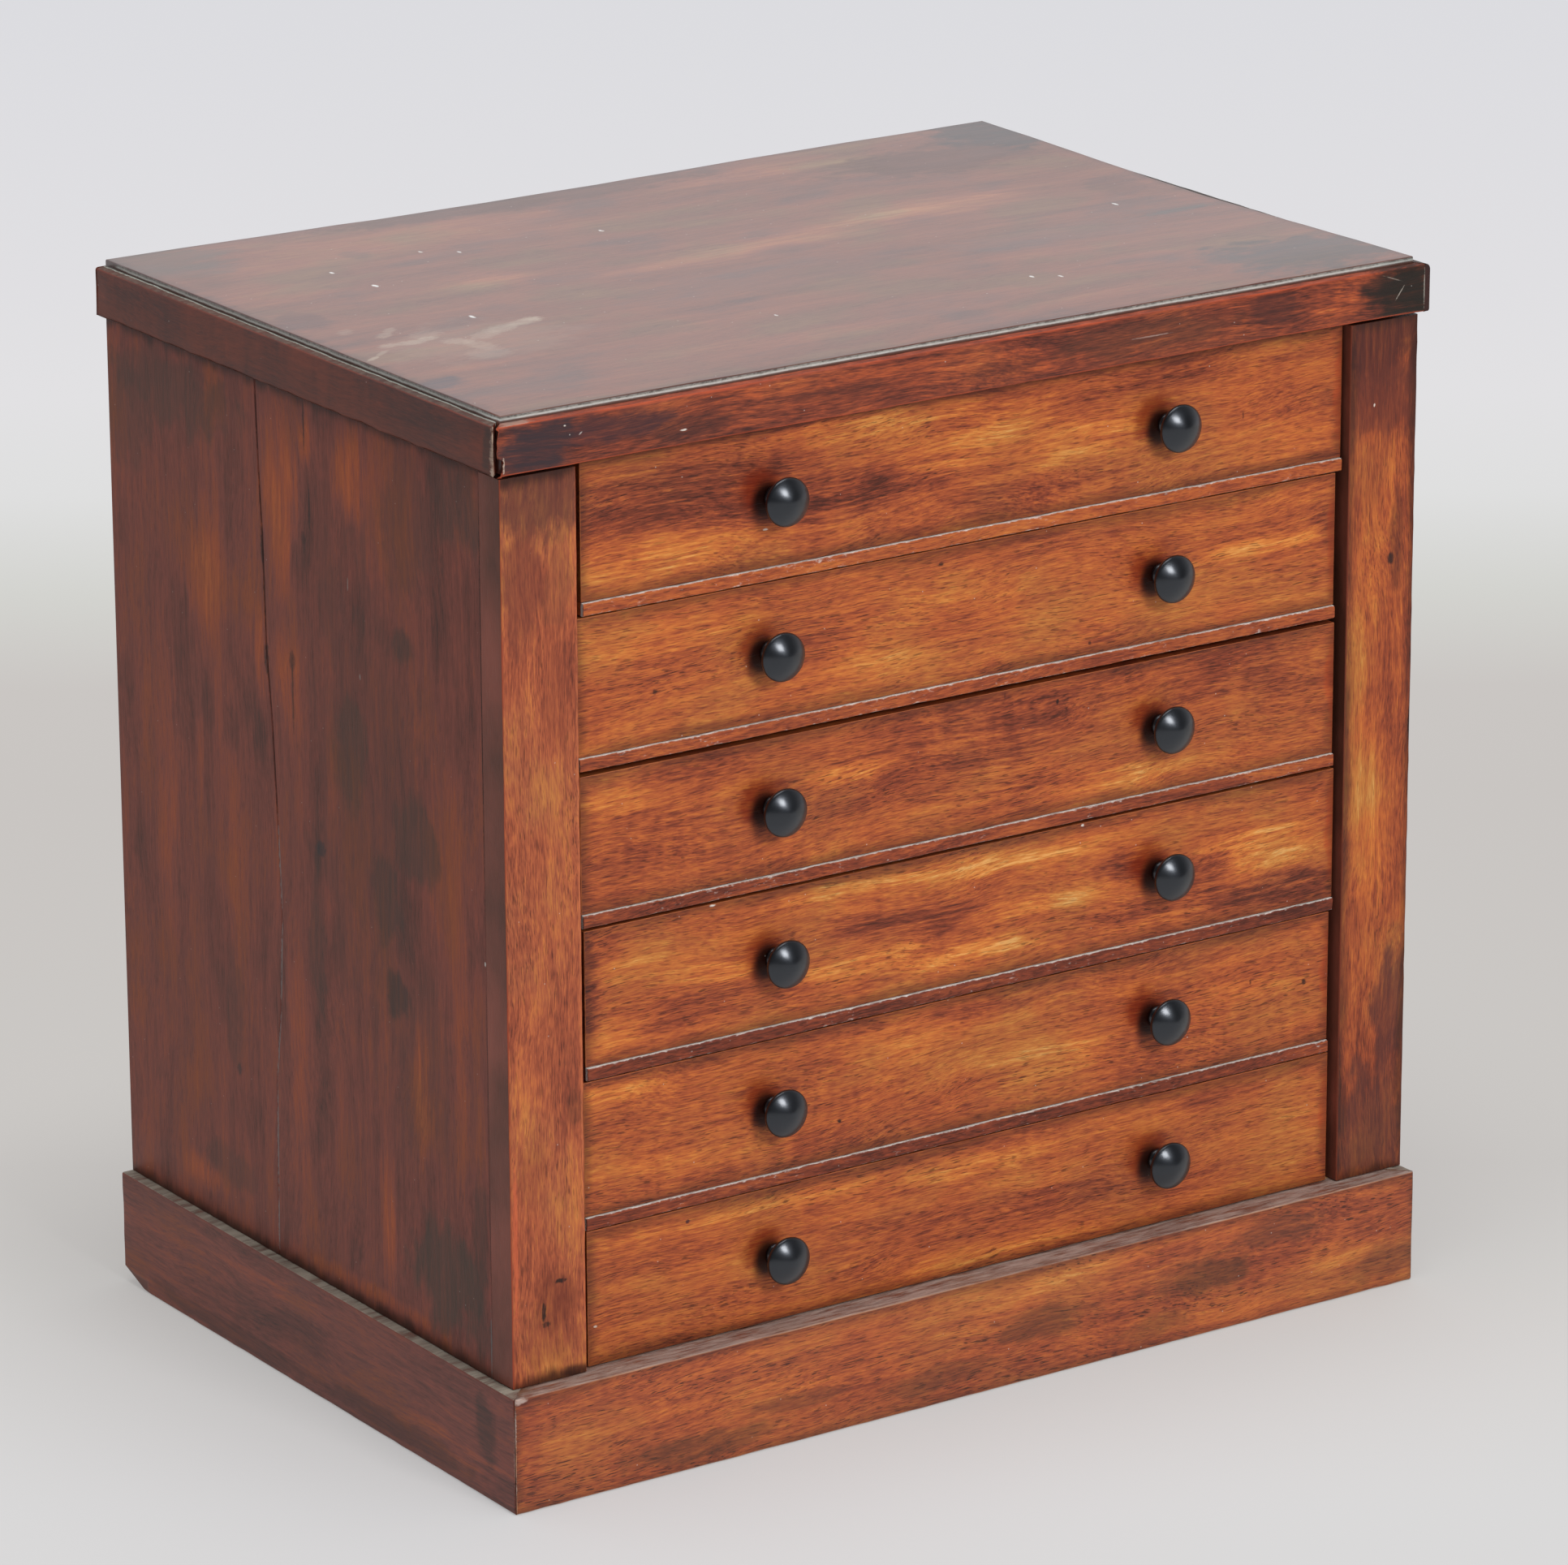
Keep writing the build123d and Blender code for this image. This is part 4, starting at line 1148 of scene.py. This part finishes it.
def turn_knob():
    """One knob, turned on its axis, with the middle of its foot at the origin."""
    radius, out = KNOB_RINGS[0]
    bpy.ops.object.select_all(action="DESELECT")
    bpy.ops.mesh.primitive_circle_add(
        vertices=40, radius=radius * MM, fill_type="NOTHING", location=(0, 0, 0), rotation=(math.pi / 2, 0, 0)
    )
    knob = bpy.context.object
    bpy.ops.object.transform_apply(location=True, rotation=True, scale=True)
    bpy.ops.object.mode_set(mode="EDIT")
    bpy.ops.mesh.select_mode(type="EDGE")
    bpy.ops.mesh.select_all(action="SELECT")
    for next_radius, next_out in KNOB_RINGS[1:]:
        bpy.ops.mesh.extrude_region_move(TRANSFORM_OT_translate={"value": (0, (out - next_out) * MM, 0)})
        share = next_radius / radius
        bpy.ops.transform.resize(value=(share, 1, share), center_override=(0, -next_out * MM, 0))
        radius, out = next_radius, next_out
    bpy.ops.mesh.edge_face_add()
    bpy.ops.mesh.select_all(action="SELECT")
    bpy.ops.mesh.normals_make_consistent(inside=False)
    bpy.ops.object.mode_set(mode="OBJECT")
    bpy.ops.object.shade_smooth()
    rounded = knob.modifiers.new("turned smooth", "SUBSURF")
    rounded.levels = rounded.render_levels = 1
    finish(knob, rounded)
    knob.data.materials.append(knob_wood)
    return knob


def fit_knob(pattern, name, number, place):
    """Copies the knob, with a mesh of its own, to its place on a drawer."""
    knob = pattern.copy()
    knob.data = pattern.data.copy()
    knob.name = knob.data.name = name
    bpy.context.scene.collection.objects.link(knob)
    knob.location = place
    select_only(knob)
    bpy.ops.object.transform_apply(location=True, rotation=True, scale=True)
    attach(knob, f"drawer_{number}")
    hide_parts(f"drawer_{number}_knobs")


pattern = turn_knob()
for number in DRAWERS:
    sides, height = knob_places(number)
    for word, x in zip(("left", "right"), sides):
        fit_knob(pattern, f"drawer_{number}_{word}_knob", number, (x, face_y, height))
bpy.data.objects.remove(pattern)


# Pale photographer's paper, lying flat under the chest and far behind it: matt, with painted shade that
# makes it a little greyer beside and behind the chest, where the paper begins to rise

CHEST_FOOT = (0.225, 0.156, 0)  # half of the plinth's width and depth, in metres
# the greyer stops, beside and behind the chest, are painted shade
PAPER_TONES_WITH_SHADE = [  # along the way that the camera looks, from 1 m before the chest to 3 m behind it
    (0.0, "#dad9d9"), (0.19, "#dad9d9"), (0.25, "#d4d2cf"), (0.285, "#cbc8c5"), (0.42, "#c9c5c2"),
    (0.465, "#cac6c3"), (0.51, "#d3d3cf"), (0.56, "#dfdfdf"), (0.615, "#e2e1e3"), (0.69, "#e0dfe2"),
    (0.9, "#dcdce0"),
]


def paper():
    """The floor's paper: away from the chest's shadow the camera sees its plain colour."""
    material, tree, shader = new_material("pale paper")
    place = add(tree, "TexCoord", out=3)
    forward = add(tree, "VectorMath", (place, (0.561, 0.828, 0)), 1, operation="DOT_PRODUCT")
    colour = add(tree, "ValToRGB", (add(tree, "MapRange", (forward, -1.0, 3.0)),), stops=PAPER_TONES_WITH_SHADE)
    connect(shader, {"Base Color": colour, "Roughness": 0.75, "Specular IOR Level": 0.2})
    rays = add(tree, "LightPath")
    seen = rays
    for kind in ("Is Glossy Ray", "Is Transmission Ray"):
        seen = add(tree, "Math", (seen, rays.node.outputs[kind]), operation="MAXIMUM")
    # how far a place lies outside the chest's foot
    outside = add(tree, "VectorMath", (place,), operation="ABSOLUTE")
    outside = add(tree, "VectorMath", (outside, CHEST_FOOT), operation="SUBTRACT")
    outside = add(tree, "VectorMath", (outside, (0, 0, 0)), operation="MAXIMUM")
    distance = add(tree, "VectorMath", (outside,), 1, operation="LENGTH")
    unshaded = add(tree, "MapRange", (distance, 0.0, 0.25, 0.45, 1.0), **SMOOTH)
    plain = add(tree, "Math", (seen, unshaded), operation="MULTIPLY")
    glow = add(tree, "Emission", {"Color": colour})
    mixed = add(tree, "MixShader", (plain, shader.outputs[0], glow))
    connect(tree.nodes["Material Output"], {"Surface": mixed})
    return material


bpy.ops.object.select_all(action="DESELECT")
bpy.ops.mesh.primitive_circle_add(vertices=96, radius=9.0, fill_type="NGON", location=(0, 0, 0))
floor = bpy.context.object
floor.name = "paper_floor"
floor.data.materials.append(paper())


# Soft studio light

def softbox(name, place, aim, size, power):
    lamp = bpy.data.lights.new(name, "AREA")
    lamp.shape = "RECTANGLE"
    lamp.size, lamp.size_y = size
    lamp.energy = power
    holder = bpy.data.objects.new(name, lamp)
    bpy.context.scene.collection.objects.link(holder)
    holder.location = place
    holder.rotation_euler = (Vector(aim) - Vector(place)).to_track_quat("-Z", "Y").to_euler()
    holder.visible_camera = False


def studio_air():
    """Light from all round: the camera and reflections see pale paper, brightest behind the chest."""
    world = bpy.data.worlds.new("studio")
    world.use_nodes = True
    tree = world.node_tree
    rays = add(tree, "LightPath")
    direction = add(tree, "TexCoord")
    behind = add(tree, "VectorMath", (direction, (0.35, 0.94, 0)), 1, operation="DOT_PRODUCT")
    shine = add(tree, "MapRange", (behind, -0.4, 0.6, 0.18, 1.1), **SMOOTH)
    strength = add(tree, "Mix", {0: rays.node.outputs["Is Glossy Ray"], 2: 0.62, 3: shine})
    strength = add(tree, "Mix", {0: rays, 2: strength, 3: 1.0})
    connect(tree.nodes["Background"], {"Color": linear("#dcdce0"), "Strength": strength})
    bpy.context.scene.world = world


studio_air()
softbox("front softbox", place=(0.0, -2.6, 1.6), aim=(0, 0, 0.2), size=(0.8, 0.75), power=40)
softbox("overhead softbox", place=(-0.1, -0.2, 2.6), aim=(0, 0, 0.3), size=(1.6, 1.6), power=26)

camera_data = bpy.data.cameras.new("camera")
camera_data.lens = CAMERA_LENS
camera_data.sensor_width = SENSOR_WIDTH
camera_data.clip_end = 50
camera = bpy.data.objects.new("camera", camera_data)
bpy.context.scene.collection.objects.link(camera)
camera.location = CAMERA_PLACE
camera.rotation_euler = [math.radians(a) for a in CAMERA_TURN]
bpy.context.scene.camera = camera
bpy.context.scene.view_settings.view_transform = "Standard"
